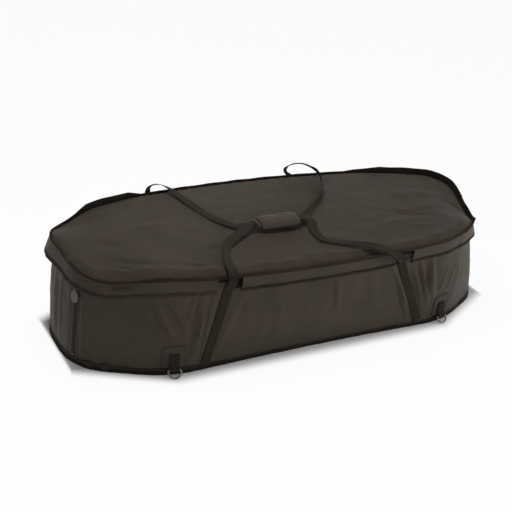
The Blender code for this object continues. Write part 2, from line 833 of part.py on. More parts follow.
def make_grip(name, height, pivot):
    """Stretch of webbing inside the wrap."""
    half = WEBBING_WIDTH / 2
    thick = WEBBING / 2
    y = WRAP_CENTRE[1]
    sections = []
    for x in (WRAP_LEFT_X, WRAP_RIGHT_X):
        sections.append([
            Vector((x, y - half, height - thick)),
            Vector((x, y + half, height - thick)),
            Vector((x, y + half, height + thick)),
            Vector((x, y - half, height + thick)),
        ])
    loft(name, sections, STRAP, pivot=pivot)


# Wrap and its flap
def oval(angle, grow=0.0):
    turn = math.radians(angle)
    y = WRAP_CENTRE[1] - (WRAP_HALF_WIDTH + grow) * math.cos(turn)
    z = WRAP_CENTRE[2] + (WRAP_HALF_HEIGHT + grow) * math.sin(turn)
    return y, z


FLAP_FRONT = -25
FLAP_HINGE = 150


def make_wrap(pivot):
    slot_half = WEBBING_WIDTH / 2 + 0.0006
    slot_thick = STACK + WEBBING / 2 + 0.0004
    around = 24
    puff = ((0.0, -0.0012), (0.12, 0.0), (0.5, 0.0006), (0.88, 0.0), (1.0, -0.0012))
    slot = slot_loop(slot_half, slot_thick, around)
    sections = []
    for share, grow in puff:
        x = WRAP_LEFT_X + WRAP_LENGTH * share
        sections.append([Vector((x, *oval(360 * step / around, grow - 0.0006))) for step in range(around)])
    for share, _ in reversed(puff):
        x = WRAP_LEFT_X + WRAP_LENGTH * share
        sections.append([Vector((x, y, z)) for y, z in slot])
    loft("handle_wrap", sections, SHELL_CLOTH, closed=True, pivot=pivot)


def slot_loop(half, thick, around):
    """Flat slot with as many points as the oval round it."""
    points = []
    for step in range(around):
        turn = math.radians(360 * step / around)
        y = -half * max(-1.0, min(1.0, 1.6 * math.cos(turn)))
        z = thick * max(-1.0, min(1.0, 4.0 * math.sin(turn)))
        points.append((WRAP_CENTRE[1] + y, WRAP_CENTRE[2] + z))
    return points


def flap_pivot():
    y, z = oval(FLAP_HINGE, WRAP_FLAP + 2 * GAP)
    return Vector((WRAP_CENTRE[0], y, z))


def make_flap():
    inset = 0.008
    steps = 10
    sections = []
    for step in range(steps + 1):
        angle = FLAP_FRONT + (FLAP_HINGE - FLAP_FRONT) * step / steps
        inner = oval(angle, 0.0004)
        outer = oval(angle, 0.0004 + WRAP_FLAP)
        sections.append([
            Vector((WRAP_LEFT_X + inset, *inner)),
            Vector((WRAP_RIGHT_X - inset, *inner)),
            Vector((WRAP_RIGHT_X - inset, *outer)),
            Vector((WRAP_LEFT_X + inset, *outer)),
        ])
    loft("handle_flap", sections, SHELL_CLOTH, pivot=flap_pivot())


# Pegging rings at the foot of the walls
RING_DROP = RING_BAR_HEIGHT - RING_WIRE - RING_TIP_CLEAR
RING_LEAN = math.acos(RING_DROP / RING_DEPTH)
PATCH_OUT = GAP + 0.0007


def make_pegging():
    for name, x, front in ring_spots():
        place = place_at_x(x, front, RING_BAR_HEIGHT)
        make_patch("ring_patch_" + name, place)
        make_tab("ring_tab_" + name, place)
        make_ring("d_ring_" + name, place)


def ring_spots():
    return (
        ("front_left", -RING_X, True),
        ("front_right", RING_X, True),
        ("back_left", -RING_X, False),
        ("back_right", RING_X, False),
    )


def make_patch(name, place):
    columns = 8
    reach = steps_for(PATCH_WIDTH / 2, place, PATCH_TOP)
    sections = []
    for column in range(columns + 1):
        at = place - reach + 2 * reach * column / columns
        sections.append([
            wall_line(at, PATCH_BOTTOM, PATCH_OUT),
            wall_line(at, PATCH_TOP, PATCH_OUT),
            wall_line(at, PATCH_TOP, PATCH_OUT + CLOTH),
            wall_line(at, PATCH_BOTTOM, PATCH_OUT + CLOTH),
        ])
    loft(name, sections, SHELL_CLOTH)


def tab_path():
    """Webbing from the patch down round the ring's bar and up again, as (out, height)."""
    seat = PATCH_OUT + CLOTH + 0.0006 + WEBBING / 2
    turn_radius = RING_WIRE + 0.0005 + WEBBING / 2
    path = [(seat, TAB_TOP), (seat, RING_BAR_HEIGHT + 0.012)]
    for angle in range(200, 421, 20):
        turn = math.radians(angle)
        out = RING_BAR_OUT + turn_radius * math.cos(turn)
        path.append((out, RING_BAR_HEIGHT + turn_radius * math.sin(turn)))
    second = seat + WEBBING + GAP
    path += [(second, RING_BAR_HEIGHT + 0.014), (second, TAB_TOP - 0.004)]
    return [Vector(point) for point in path]


def make_tab(name, place):
    path = tab_path()
    left = []
    right = []
    for index, spot in enumerate(path):
        run = path[min(index + 1, len(path) - 1)] - path[max(index - 1, 0)]
        side = Vector((run.y, -run.x)).normalized() * (WEBBING / 2)
        left.append(spot + side)
        right.append(spot - side)
    outline = left + right[::-1]
    origin, run, out = wall_frame(place, RING_BAR_HEIGHT)
    sections = []
    for reach in (-TAB_WIDTH / 2, TAB_WIDTH / 2):
        section = []
        for point in outline:
            sewn = point.y > RING_BAR_HEIGHT + 0.006
            foot = wall_line(place, point.y) if sewn else origin
            spot = foot + run * reach + out * point.x
            spot.z = point.y
            section.append(spot)
        sections.append(section)
    loft(name, sections, STRAP)


def ring_centre(place):
    origin, run, out = wall_frame(place, RING_BAR_HEIGHT)
    return origin + out * RING_BAR_OUT, run, out


def make_ring(name, place):
    """D-shaped wire. Its straight bar lies in the tab and its bow leans on the floor."""
    centre, run, out = ring_centre(place)
    down = out * math.sin(RING_LEAN) + Vector((0, 0, -1)) * math.cos(RING_LEAN)
    corner = 0.0034
    flat = RING_HALF_WIDTH - corner
    outline = [(flat * share, 0.0) for share in (-1.0, 0.0, 1.0)]
    for angle in (60, 30, 0):
        turn = math.radians(angle)
        outline.append((flat + corner * math.cos(turn), corner - corner * math.sin(turn)))
    for step in range(1, 12):
        turn = math.pi * step / 12
        outline.append((RING_HALF_WIDTH * math.cos(turn), corner + (RING_DEPTH - corner) * math.sin(turn)))
    for angle in (0, 30, 60):
        turn = math.radians(angle)
        outline.append((-flat - corner * math.cos(turn), corner - corner * math.sin(turn)))
    wire = bpy.data.curves.new(name + "_wire", "CURVE")
    wire.dimensions = "3D"
    wire.bevel_depth = RING_WIRE
    wire.bevel_resolution = 1
    spline = wire.splines.new("POLY")
    spline.points.add(len(outline) - 1)
    for point, (across, along) in zip(spline.points, outline):
        point.co = (*(run * across + down * along), 1.0)
    spline.use_cyclic_u = True
    guide = bpy.data.objects.new(name + "_wire", wire)
    MAT.objects.link(guide)
    bpy.context.view_layer.update()
    graph = bpy.context.evaluated_depsgraph_get()
    mesh = bpy.data.meshes.new_from_object(guide.evaluated_get(graph))
    bpy.data.objects.remove(guide, do_unlink=True)
    mesh.transform(Matrix.Translation(centre))
    mesh.name = name
    mesh.materials.clear()
    add(name, mesh, RING_METAL, pivot=centre)


# Corner zip, a fixed way round the wall from the middle of the left end
ZIP_STRIDE = (rim_line(LEFT_END + 1, ZIP_BOTTOM) - rim_line(LEFT_END, ZIP_BOTTOM)).length
ZIP_PLACE = LEFT_END + ZIP_ROUND_FROM_END / ZIP_STRIDE


def zip_frame():
    """Foot of the zip, its way up, its run along the wall and outward."""
    foot = wall_line(ZIP_PLACE, ZIP_BOTTOM)
    head = wall_line(ZIP_PLACE, ZIP_TOP)
    up = (head - foot).normalized()
    _, run, _ = wall_frame(ZIP_PLACE, (ZIP_BOTTOM + ZIP_TOP) / 2)
    run = (run - up * run.dot(up)).normalized()
    return foot, up, run, run.cross(up).normalized()


def zip_point(along, across, out):
    foot, up, run, face = zip_frame()
    return foot + up * along + run * across + face * out


TAPE_OUT = GAP + 0.0004
CHAIN_OUT = TAPE_OUT + 0.0008 + GAP + 0.0004


def make_zip():
    foot, up, run, face = zip_frame()
    length = (ZIP_TOP - ZIP_BOTTOM) / up.z
    tape = []
    columns = 4
    for column in range(columns + 1):
        place = ZIP_PLACE + (column / columns - 0.5) * ZIP_TAPE_WIDTH / ZIP_STRIDE
        tape.append([
            wall_line(place, ZIP_BOTTOM - 0.003, TAPE_OUT),
            wall_line(place, ZIP_TOP, TAPE_OUT),
            wall_line(place, ZIP_TOP, TAPE_OUT + 0.0008),
            wall_line(place, ZIP_BOTTOM - 0.003, TAPE_OUT + 0.0008),
        ])
    loft("zip_tape", tape, BINDING)
    make_zip_chain(length)
    make_zip_stops(length)
    make_slider()
    make_pull()


def make_zip_chain(length):
    """Nylon coil: its turns stand out as a rib for each pitch."""
    start = 0.005
    turns = int((length - 2 * start) / ZIP_PITCH) - 1
    sections = []
    for turn in range(turns + 1):
        for share, narrow in ((0.0, 0.0), (0.25, 0.0), (0.5, 0.0008), (0.75, 0.0008)):
            along = start + (turn + share) * ZIP_PITCH
            half = ZIP_CHAIN_WIDTH / 2 - narrow
            top = CHAIN_OUT + ZIP_CHAIN - narrow
            sections.append([
                zip_point(along, -half, CHAIN_OUT),
                zip_point(along, half, CHAIN_OUT),
                zip_point(along, half * 0.8, top),
                zip_point(along, -half * 0.8, top),
            ])
    loft("zip_chain", sections, ZIP_NYLON)


def block(low, high):
    """Corners of a block in the zip's frame as two sections."""
    sections = []
    for along in (low[0], high[0]):
        sections.append([
            zip_point(along, low[1], low[2]),
            zip_point(along, high[1], low[2]),
            zip_point(along, high[1], high[2]),
            zip_point(along, low[1], high[2]),
        ])
    return sections


def make_zip_stops(length):
    """Metal stops that end the slider's way at the foot and the head of the coil."""
    half = ZIP_CHAIN_WIDTH / 2 + 0.0006
    for name, start in (("zip_stop_bottom", 0.0010), ("zip_stop_top", length - 0.0044)):
        sections = block((start, -half, CHAIN_OUT), (start + 0.0030, half, CHAIN_OUT + ZIP_CHAIN))
        loft(name, sections, RING_METAL)


SLIDER_ALONG = SLIDER_START - ZIP_BOTTOM - SLIDER_LENGTH / 2
SLIDER_TOP = CHAIN_OUT + ZIP_CHAIN + 0.0004 + SLIDER_WALL
EYE_OUT = SLIDER_TOP + 0.0025
EYE_ALONG = SLIDER_ALONG + SLIDER_LENGTH * 0.35


def slider_pivot():
    return zip_point(SLIDER_ALONG, 0.0, SLIDER_TOP)


def pull_pivot():
    return zip_point(EYE_ALONG, 0.0, EYE_OUT)


def make_slider():
    """Channel that rides over the coil, with a bridge for the pull."""
    half = SLIDER_WIDTH / 2
    inner = half - SLIDER_WALL
    low = CHAIN_OUT + 0.0002
    roof = SLIDER_TOP - SLIDER_WALL
    channel = [(-half, low), (-inner, low), (-inner, roof), (inner, roof), (inner, low), (half, low),
               (half, SLIDER_TOP - 0.0006), (half - 0.0010, SLIDER_TOP), (-half + 0.0010, SLIDER_TOP),
               (-half, SLIDER_TOP - 0.0006)]
    sections = []
    for share, pinch in ((-0.5, 0.92), (-0.3, 1.0), (0.3, 1.0), (0.5, 0.92)):
        along = SLIDER_ALONG + SLIDER_LENGTH * share
        sections.append([zip_point(along, across * pinch, out) for across, out in channel])
    body = loft("zip_slider", sections, RING_METAL, pivot=slider_pivot())
    bridge_path = []
    for step in range(7):
        turn = math.pi * step / 6
        along = EYE_ALONG - 0.0038 * math.cos(turn)
        bridge_path.append((along, SLIDER_TOP - 0.0003 + 0.0052 * math.sin(turn)))
    bridge = loft("zip_slider_bridge", bridge_sections(bridge_path), RING_METAL, pivot=slider_pivot())
    join(body, bridge)


def bridge_sections(path):
    sections = []
    middle = (EYE_ALONG, SLIDER_TOP)
    for along, out in path:
        inner_along = middle[0] + (along - middle[0]) * 0.72
        inner_out = middle[1] + (out - middle[1]) * 0.78
        sections.append([
            zip_point(along, -0.0011, out),
            zip_point(along, 0.0011, out),
            zip_point(inner_along, 0.0011, inner_out),
            zip_point(inner_along, -0.0011, inner_out),
        ])
    return sections


def join(body, piece):
    """Boolean union of two closed pieces of one casting."""
    bpy.context.view_layer.update()
    union = body.modifiers.new("union", "BOOLEAN")
    union.operation = "UNION"
    union.solver = "EXACT"
    union.object = piece
    graph = bpy.context.evaluated_depsgraph_get()
    joined = bpy.data.meshes.new_from_object(body.evaluated_get(graph))
    body.modifiers.remove(union)
    body.data = joined
    bpy.data.objects.remove(piece, do_unlink=True)


def make_pull():
    """Ribbed oval rubber pull that hangs from the slider's bridge."""
    drop = 0.0045
    shape = []
    rows = 22
    for row in range(rows + 1):
        share = row / rows
        along = EYE_ALONG - drop - PULL_LENGTH * share
        bulge = math.sqrt(max(0.0, 1 - (2 * share - 1) ** 2))
        half = max(0.0022, PULL_WIDTH / 2 * bulge ** 0.8)
        rib = 0.0004 if row % 2 else 0.0
        thick = PULL_THICK / 2 * (0.55 + 0.45 * bulge) - rib
        centre = EYE_OUT
        shape.append([
            zip_point(along, -half, centre - thick * 0.5),
            zip_point(along, -half * 0.6, centre - thick),
            zip_point(along, half * 0.6, centre - thick),
            zip_point(along, half, centre - thick * 0.5),
            zip_point(along, half, centre + thick * 0.5),
            zip_point(along, half * 0.6, centre + thick),
            zip_point(along, -half * 0.6, centre + thick),
            zip_point(along, -half, centre + thick * 0.5),
        ])
    body = loft("zip_pull", shape, PULL_RUBBER, pivot=pull_pivot())
    loop = pull_loop(drop)
    join(body, loop)


def pull_loop(drop):
    """Cord loop from the pull's head through the bridge, as a ring of square section."""
    sections = []
    count = 12
    reach = (drop + 0.0032) / 2
    middle = EYE_ALONG + 0.0010 - reach
    for step in range(count):
        turn = 2 * math.pi * step / count
        along = math.cos(turn)
        across = math.sin(turn)
        outer = (middle + reach * along, 0.0030 * across)
        inner = (middle + (reach - 0.0013) * along, 0.0017 * across)
        sections.append([
            zip_point(outer[0], outer[1], EYE_OUT - 0.00065),
            zip_point(inner[0], inner[1], EYE_OUT - 0.00065),
            zip_point(inner[0], inner[1], EYE_OUT + 0.00065),
            zip_point(outer[0], outer[1], EYE_OUT + 0.00065),
        ])
    return loft("zip_pull_loop", sections, PULL_RUBBER, closed=True, pivot=pull_pivot())


def build():
    make_base()
    floor_surface = make_floor()
    make_walls(floor_surface)
    make_lid()
    make_hinge_strip()
    make_strap_runs()
    make_front_strap()
    make_back_strap()
    make_wrap(strap_pivot(True))
    make_flap()
    make_pegging()
    make_zip()


build()
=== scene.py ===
# %% [markdown]
# # A walled unhooking mat
# Anglers lay a fish in this padded tub while they take the hook out. The solids already hold
# its real sizes, so this lesson dresses them: cloth, tape, webbing, thread, zip and rings.
# Every piece is made in the same metres as the solids, and most ride on the body that carries them.

# %% Load the frame
import json
import math

import bpy
import numpy as np
from mathutils import Matrix, Vector


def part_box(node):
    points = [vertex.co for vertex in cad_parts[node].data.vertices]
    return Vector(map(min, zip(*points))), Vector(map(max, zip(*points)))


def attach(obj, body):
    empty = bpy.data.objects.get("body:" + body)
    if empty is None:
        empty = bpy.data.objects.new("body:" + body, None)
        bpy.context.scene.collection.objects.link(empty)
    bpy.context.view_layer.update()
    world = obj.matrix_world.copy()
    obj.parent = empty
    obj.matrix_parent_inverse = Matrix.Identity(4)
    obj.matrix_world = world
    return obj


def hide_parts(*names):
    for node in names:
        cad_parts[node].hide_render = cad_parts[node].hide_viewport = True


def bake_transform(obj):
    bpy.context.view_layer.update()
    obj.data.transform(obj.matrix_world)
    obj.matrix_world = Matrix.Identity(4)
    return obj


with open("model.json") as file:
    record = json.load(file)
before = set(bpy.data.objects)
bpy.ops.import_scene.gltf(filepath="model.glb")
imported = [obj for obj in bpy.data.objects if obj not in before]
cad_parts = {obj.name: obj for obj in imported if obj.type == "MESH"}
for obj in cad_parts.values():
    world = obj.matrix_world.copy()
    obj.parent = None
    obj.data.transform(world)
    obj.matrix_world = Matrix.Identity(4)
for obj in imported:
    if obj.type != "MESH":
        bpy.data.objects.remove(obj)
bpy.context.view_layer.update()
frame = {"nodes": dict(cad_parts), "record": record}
joints = {joint["name"]: joint for joint in frame["record"]["behaviour"]["joints"]}

# %% [markdown]
# ## Camera
# The camera comes first, because everything after it is judged through it. Its place and
# turn were worked out from the outlines of the base, the hem and the lid in the photograph.
# A long lens and a slight roll match the way the mat runs up to the right.

# %% Camera
IMAGE_SIZE = 512
FOCAL_PIXELS = 994.53
camera_place = Vector((-1.3212, -1.9286, 1.3819))
yaw, pitch, roll = (math.radians(angle) for angle in (32.63, 27.97, 8.10))

ahead = Vector((math.sin(yaw) * math.cos(pitch), math.cos(yaw) * math.cos(pitch), -math.sin(pitch)))
level_right = Vector((math.cos(yaw), -math.sin(yaw), 0))
level_up = level_right.cross(ahead)
right = level_right * math.cos(roll) + level_up * math.sin(roll)
up = level_up * math.cos(roll) - level_right * math.sin(roll)

lens = bpy.data.cameras.new("studio_camera")
lens.sensor_width = 36
lens.lens = FOCAL_PIXELS / IMAGE_SIZE * lens.sensor_width
camera = bpy.data.objects.new("studio_camera", lens)
bpy.context.scene.collection.objects.link(camera)
turn = Matrix((right, up, -ahead)).transposed().to_4x4()
camera.matrix_world = Matrix.Translation(camera_place) @ turn
bpy.context.scene.camera = camera
print("lens", round(lens.lens, 2))

# %% [markdown]
# ## Plan outline
# The tub is not one shape pushed upwards. Its foot is drawn in along the sides, its rim bulges
# out, and its front right corner slumps in towards the rim, so each height has its own
# eight-sided outline with rounded corners.
# Both outlines get the same count of even steps, and a point between them is a mix of the two.
# Places count round the mat: 0 is the middle of the right end, 20 the back, 40 the left end
# and 60 the front.

# %% Plan outline
HALF_LENGTH, HALF_WIDTH, SIDE_HALF = 0.620, 0.211, 0.415
CORNER_CUT = 0.085
RIM_SEAM = 0.2685
WALL_TOP = 0.2560
STRIP_TOP = 0.0180
WALL_LEAN = 0.0105
ROUND, LEFT_END = 80, 40
TABLE_STEPS = 800


def lengths_along(points):
    """Length of a line of points up to each of them."""
    return np.concatenate([[0], np.cumsum(np.linalg.norm(np.diff(points, axis=0), axis=1))])


def length_of(points):
    """Length of a whole line of points."""
    return float(np.linalg.norm(np.diff(points, axis=0), axis=1).sum())


def read_at(want, reach, table):
    """Rows of a table read at the wanted lengths along its line."""
    return np.stack([np.interp(want, reach, column) for column in table.T], -1)


def bend(start, corner, end):
    """A soft corner: a curve from start to end that is pulled towards corner."""
    t = np.linspace(0, 1, 40)[:, None]
    return start * (1 - t) ** 2 + corner * 2 * t * (1 - t) + end * t ** 2


def quarter(level):
    """A quarter of the plan, from the right end to the back. level is 0 at the foot and 1 at the rim."""
    end_half = 0.106 + 0.028 * level
    bow = -0.0095 + 0.0405 * level
    end_corner = np.array([HALF_LENGTH, end_half])
    side_corner = np.array([SIDE_HALF, HALF_WIDTH])
    slant = (side_corner - end_corner) / np.linalg.norm(side_corner - end_corner)
    end_cut = np.array([0, min(CORNER_CUT, 0.9 * end_half)])
    after_side = side_corner - np.array([CORNER_CUT, 0])
    path = np.vstack([
        [[HALF_LENGTH, 0.0]],
        bend(end_corner - end_cut, end_corner, end_corner + slant * CORNER_CUT),
        bend(side_corner - slant * CORNER_CUT, side_corner, after_side),
        np.linspace(after_side, [0.0, HALF_WIDTH], 60)[1:],
    ])
    path[:, 1] += bow * np.maximum(0.0, 1 - (path[:, 0] / SIDE_HALF) ** 2)
    reach = lengths_along(path)
    return read_at(np.linspace(0, reach[-1], TABLE_STEPS + 1), reach, path)


def whole(level):
    """The whole plan, by mirroring the quarter round."""
    part = quarter(level)
    return np.vstack([
        part[:-1],
        (part[::-1] * [-1, 1])[:-1],
        (part * [-1, -1])[:-1],
        (part[::-1] * [1, -1])[:-1],
    ])


def outward(outline):
    """Unit vectors that point out of a plan outline."""
    run = np.roll(outline, -4, 0) - np.roll(outline, 4, 0)
    normal = np.stack([run[:, 1], -run[:, 0]], -1)
    return normal / np.linalg.norm(normal, axis=1)[:, None]


def slumped(points):
    """Presses the outline in at the front right corner, most at its furthest point."""
    way = np.array([0.876, -0.482])
    share = np.clip((points @ way - 0.400) / 0.185, 0, 1)
    return points - way * 0.060 * (share ** 2)[:, None]


FLOOR_PLAN, RIM_PLAN = whole(0.0), slumped(whole(1.0))
FLOOR_NORMAL, RIM_NORMAL = outward(FLOOR_PLAN), outward(RIM_PLAN)


def look_up(table, place):
    """Row of an outline table at a place, between two entries where need be."""
    spot = (np.asarray(place, float) / ROUND % 1.0) * len(table)
    low = np.floor(spot).astype(int) % len(table)
    share = (spot - np.floor(spot))[..., None]
    return table[low] * (1 - share) + table[(low + 1) % len(table)] * share


def form(place, height, out=0.0):
    """Points of the mat's outer form, from arrays of places, heights and distances outward."""
    place, height, out = np.broadcast_arrays(place, height, out)
    level = (height / RIM_SEAM)[..., None]
    spot = look_up(FLOOR_PLAN, place) * (1 - level) + look_up(RIM_PLAN, place) * level
    normal = look_up(FLOOR_NORMAL, place) * (1 - level) + look_up(RIM_NORMAL, place) * level
    normal /= np.linalg.norm(normal, axis=-1)[..., None]
    spot = spot + normal * out[..., None]
    return np.concatenate([spot, height[..., None]], -1)


def lean(height):
    """How far the wall's outer face stands in from the outer form."""
    return WALL_LEAN * (height - STRIP_TOP) / (WALL_TOP - STRIP_TOP)


def place_at_x(x, front, height=0.12):
    """Outline place of a point on the front or the back wall with this x."""
    places = np.linspace(LEFT_END, ROUND, 1601) if front else np.linspace(0, LEFT_END, 1601)
    xs = form(places, height)[:, 0]
    return float(np.interp(x, xs, places) if front else np.interp(-x, -xs, places))


def wave(size, seed, x, y):
    """Smooth uneven surface between about -1 and 1, whose hills are about size metres apart."""
    dice = np.random.default_rng(seed)
    total = np.zeros(np.broadcast(x, y).shape)
    for turn in range(7):
        angle = dice.uniform(0, math.pi)
        pitch_there = 2 * math.pi / (size * dice.uniform(0.7, 1.6))
        phase = dice.uniform(0, 2 * math.pi)
        total = total + np.sin((x * math.cos(angle) + y * math.sin(angle)) * pitch_there + phase)
    return total / 4


print("outline length", round(length_of(RIM_PLAN), 3))

# %% [markdown]
# ## Grids into pieces
# Almost every piece here is a strip or a sheet, so almost every piece is a grid of points.
# A grid alone has no thickness. Real cloth has, and its cut edge shows, so a second layer is
# set behind the first and the two are joined round the border. The grid's own lengths in
# metres become its texture coordinates, which keep a weave at its real scale everywhere.

# %% Grids into pieces
MADE = []
SAGS = [(-0.563, 0.142, 0.062, 0.021), (-0.560, -0.148, 0.065, 0.009), (0.605, -0.070, 0.095, 0.042)]


def sagged(points):
    """Lets the top of the mat sink at three soft corners: x, y, width and depth of each."""
    points = np.array(points, float)
    level = np.clip((points[:, 2] - 0.060) / 0.200, 0, 1) ** 1.3
    for x, y, width, depth in SAGS:
        away = ((points[:, 0] - x) ** 2 + (points[:, 1] - y) ** 2) / width ** 2
        points[:, 2] -= depth * np.exp(-away) * level
    return points


def grid_faces(rows, columns, closed=False):
    """Quads of a grid of points numbered row by row. closed joins the last row to the first."""
    numbers = np.arange(rows * columns).reshape(rows, columns)
    if closed:
        numbers = np.vstack([numbers, numbers[:1]])
    near, far = numbers[:-1], numbers[1:]
    quads = np.stack([near[:, :-1], far[:, :-1], far[:, 1:], near[:, 1:]], -1)
    return quads.reshape(-1, 4)


def ring_quads(numbers):
    """Quads between rings of numbered points, each ring closed on itself."""
    near, far = numbers[:-1], numbers[1:]
    return np.stack([near, np.roll(near, -1, 1), np.roll(far, -1, 1), far], -1).reshape(-1, 4)


def normals_of(points, closed=False):
    """Unit vectors at right angles to a grid of points, towards its outer face."""
    along = np.roll(points, -1, 0) - np.roll(points, 1, 0) if closed else np.gradient(points, axis=0)
    normal = np.cross(along, np.gradient(points, axis=1))
    return normal / np.maximum(np.linalg.norm(normal, axis=-1), 1e-12)[..., None]


def metres(points):
    """Texture coordinates of a grid: its mean lengths along the rows and along the columns."""
    along = np.linalg.norm(np.diff(points, axis=0), axis=-1).mean(1)
    across = np.linalg.norm(np.diff(points, axis=1), axis=-1).mean(0)
    u = np.concatenate([[0], np.cumsum(along)])
    v = np.concatenate([[0], np.cumsum(across)])
    return np.stack(np.meshgrid(u, v, indexing="ij"), -1)


def make(name, vertices, faces, material, uv=None, sharp=50):
    mesh = bpy.data.meshes.new(name)
    mesh.from_pydata(sagged(vertices).tolist(), [], [list(face) for face in faces])
    mesh.update()
    if uv is not None:
        layer = mesh.uv_layers.new(name="metres")
        corners = np.empty(len(mesh.loops), dtype=np.int32)
        mesh.loops.foreach_get("vertex_index", corners)
        layer.data.foreach_set("uv", np.asarray(uv)[corners].ravel())
    mesh.materials.append(material)
    mesh.shade_smooth()
    mesh.set_sharp_from_angle(angle=math.radians(sharp))
    piece = bpy.data.objects.new(name, mesh)
    bpy.context.scene.collection.objects.link(piece)
    MADE.append(name)
    return piece


def sheet_of(name, points, thickness, material, closed=False):
    """Cloth with real thickness. The grid is its outer face."""
    rows, columns = points.shape[:2]
    inner = points - normals_of(points, closed) * thickness
    count = rows * columns
    face = grid_faces(rows, columns, closed)
    faces = [face, face[:, ::-1] + count]
    numbers = np.arange(count).reshape(rows, columns)
    edges = []
    loop = np.vstack([numbers, numbers[:1]]) if closed else numbers
    edges.append(np.stack([loop[:-1, 0], loop[:-1, 0] + count, loop[1:, 0] + count, loop[1:, 0]], -1))
    edges.append(np.stack([loop[:-1, -1], loop[1:, -1], loop[1:, -1] + count, loop[:-1, -1] + count], -1))
    if not closed:
        first, last = numbers[0], numbers[-1]
        edges.append(np.stack([first[:-1], first[1:], first[1:] + count, first[:-1] + count], -1))
        edges.append(np.stack([last[:-1], last[:-1] + count, last[1:] + count, last[1:]], -1))
    vertices = np.vstack([points.reshape(-1, 3), inner.reshape(-1, 3)])
    uv = metres(points).reshape(-1, 2)
    return make(name, vertices, np.vstack(faces + edges), material, np.vstack([uv, uv]))


def tube_of(name, rings, material, closed=False, sharp=50):
    """Skin over rings of points. The ends are capped unless the last ring joins the first."""
    rings = np.asarray(rings)
    rows, columns = rings.shape[:2]
    wrapped = np.arange(rows * columns).reshape(rows, columns)
    loop = np.vstack([wrapped, wrapped[:1]]) if closed else wrapped
    faces = [list(face) for face in ring_quads(loop)]
    if not closed:
        faces.append(list(wrapped[0][::-1]))
        faces.append(list(wrapped[-1]))
    around = np.linalg.norm(np.roll(rings, -1, 1) - rings, axis=-1).mean(0)
    along = np.linalg.norm(np.diff(rings, axis=0), axis=-1).mean(1)
    u = np.concatenate([[0], np.cumsum(along)])
    v = np.concatenate([[0], np.cumsum(around)[:-1]])
    uv = np.stack(np.meshgrid(u, v, indexing="ij"), -1).reshape(-1, 2)
    return make(name, rings.reshape(-1, 3), faces, material, uv, sharp)


def box_of(node):
    low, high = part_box(node)
    return np.array(low), np.array(high)


print("lid panel box", [round(float(x), 4) for x in box_of("lid_panel")[1]])

# %% [markdown]
# ## Finishes
# The shell is a coated polyester: a fine plain weave, a soft satin face and a colour that
# shifts a little where the coating is thicker. The weave, the crinkle and the cloudy tone are
# three textures of different sizes, because real cloth shows all three at different distances.
# The values that are the same everywhere sit on the shader itself.

# %% Finishes: helpers
def new_material(name, roughness, metallic=0.0, sheen=0.0, specular=0.5):
    material = bpy.data.materials.new(name)
    material.use_nodes = True
    shader = material.node_tree.nodes["Principled BSDF"]
    shader.inputs["Roughness"].default_value = roughness
    shader.inputs["Metallic"].default_value = metallic
    shader.inputs["Sheen Weight"].default_value = sheen
    shader.inputs["Sheen Roughness"].default_value = 0.5
    shader.inputs["Specular IOR Level"].default_value = specular
    shader.inputs["Specular Tint"].default_value = (1.0, 0.90, 0.80, 1) if metallic == 0.0 else (1, 1, 1, 1)
    shader.inputs["Sheen Tint"].default_value = (1.0, 0.88, 0.76, 1)
    return material, material.node_tree, shader


def join(tree, start, end):
    tree.links.new(start, end)


def noise(tree, vector, size, detail=3.0, stretch=None):
    """Noise whose clouds are about size metres across."""
    if stretch is not None:
        mapping = tree.nodes.new("ShaderNodeMapping")
        mapping.inputs["Scale"].default_value = stretch
        join(tree, vector, mapping.inputs["Vector"])
        vector = mapping.outputs["Vector"]
    node = tree.nodes.new("ShaderNodeTexNoise")
    node.inputs["Scale"].default_value = 1.0 / size
    node.inputs["Detail"].default_value = detail
    join(tree, vector, node.inputs["Vector"])
    return node.outputs["Fac"]


WAVE_REPEAT = 0.314159


def bands(tree, vector, pitch, direction="X"):
    """Threads or ribs, one every pitch metres. A wave of scale 1 repeats every WAVE_REPEAT."""
    node = tree.nodes.new("ShaderNodeTexWave")
    node.bands_direction = direction
    node.inputs["Scale"].default_value = WAVE_REPEAT / pitch
    node.inputs["Distortion"].default_value = 0.0
    join(tree, vector, node.inputs["Vector"])
    return node.outputs["Fac"]


def sum_of(tree, first, second, share=0.5):
    node = tree.nodes.new("ShaderNodeMix")
    node.inputs["Factor"].default_value = share
    join(tree, first, node.inputs["A"])
    join(tree, second, node.inputs["B"])
    return node.outputs["Result"]


def tone(tree, fac, dark, light, low=0.3, high=0.7):
    ramp = tree.nodes.new("ShaderNodeValToRGB")
    ramp.color_ramp.elements[0].position = low
    ramp.color_ramp.elements[1].position = high
    ramp.color_ramp.elements[0].color = (*dark, 1)
    ramp.color_ramp.elements[1].color = (*light, 1)
    join(tree, fac, ramp.inputs["Fac"])
    return ramp.outputs["Color"]


def spread(tree, fac, low, high):
    node = tree.nodes.new("ShaderNodeMapRange")
    node.inputs["To Min"].default_value = low
    node.inputs["To Max"].default_value = high
    join(tree, fac, node.inputs["Value"])
    return node.outputs["Result"]


def bump(tree, shader, height, depth):
    node = tree.nodes.new("ShaderNodeBump")
    node.inputs["Strength"].default_value = 1.0
    node.inputs["Distance"].default_value = depth
    join(tree, height, node.inputs["Height"])
    join(tree, node.outputs["Normal"], shader.inputs["Normal"])
    return node


def coordinates(tree, kind="UV"):
    return tree.nodes.new("ShaderNodeTexCoord").outputs[kind]


def scaled(colour, share):
    return tuple(channel * share for channel in colour)


def linear(red, green, blue):
    """Screen colour, 0 to 255, as the light it stands for."""
    values = []
    for channel in (red, green, blue):
        value = channel / 255
        values.append(value / 12.92 if value <= 0.04045 else ((value + 0.055) / 1.055) ** 2.4)
    return tuple(values)


print("helpers ready")

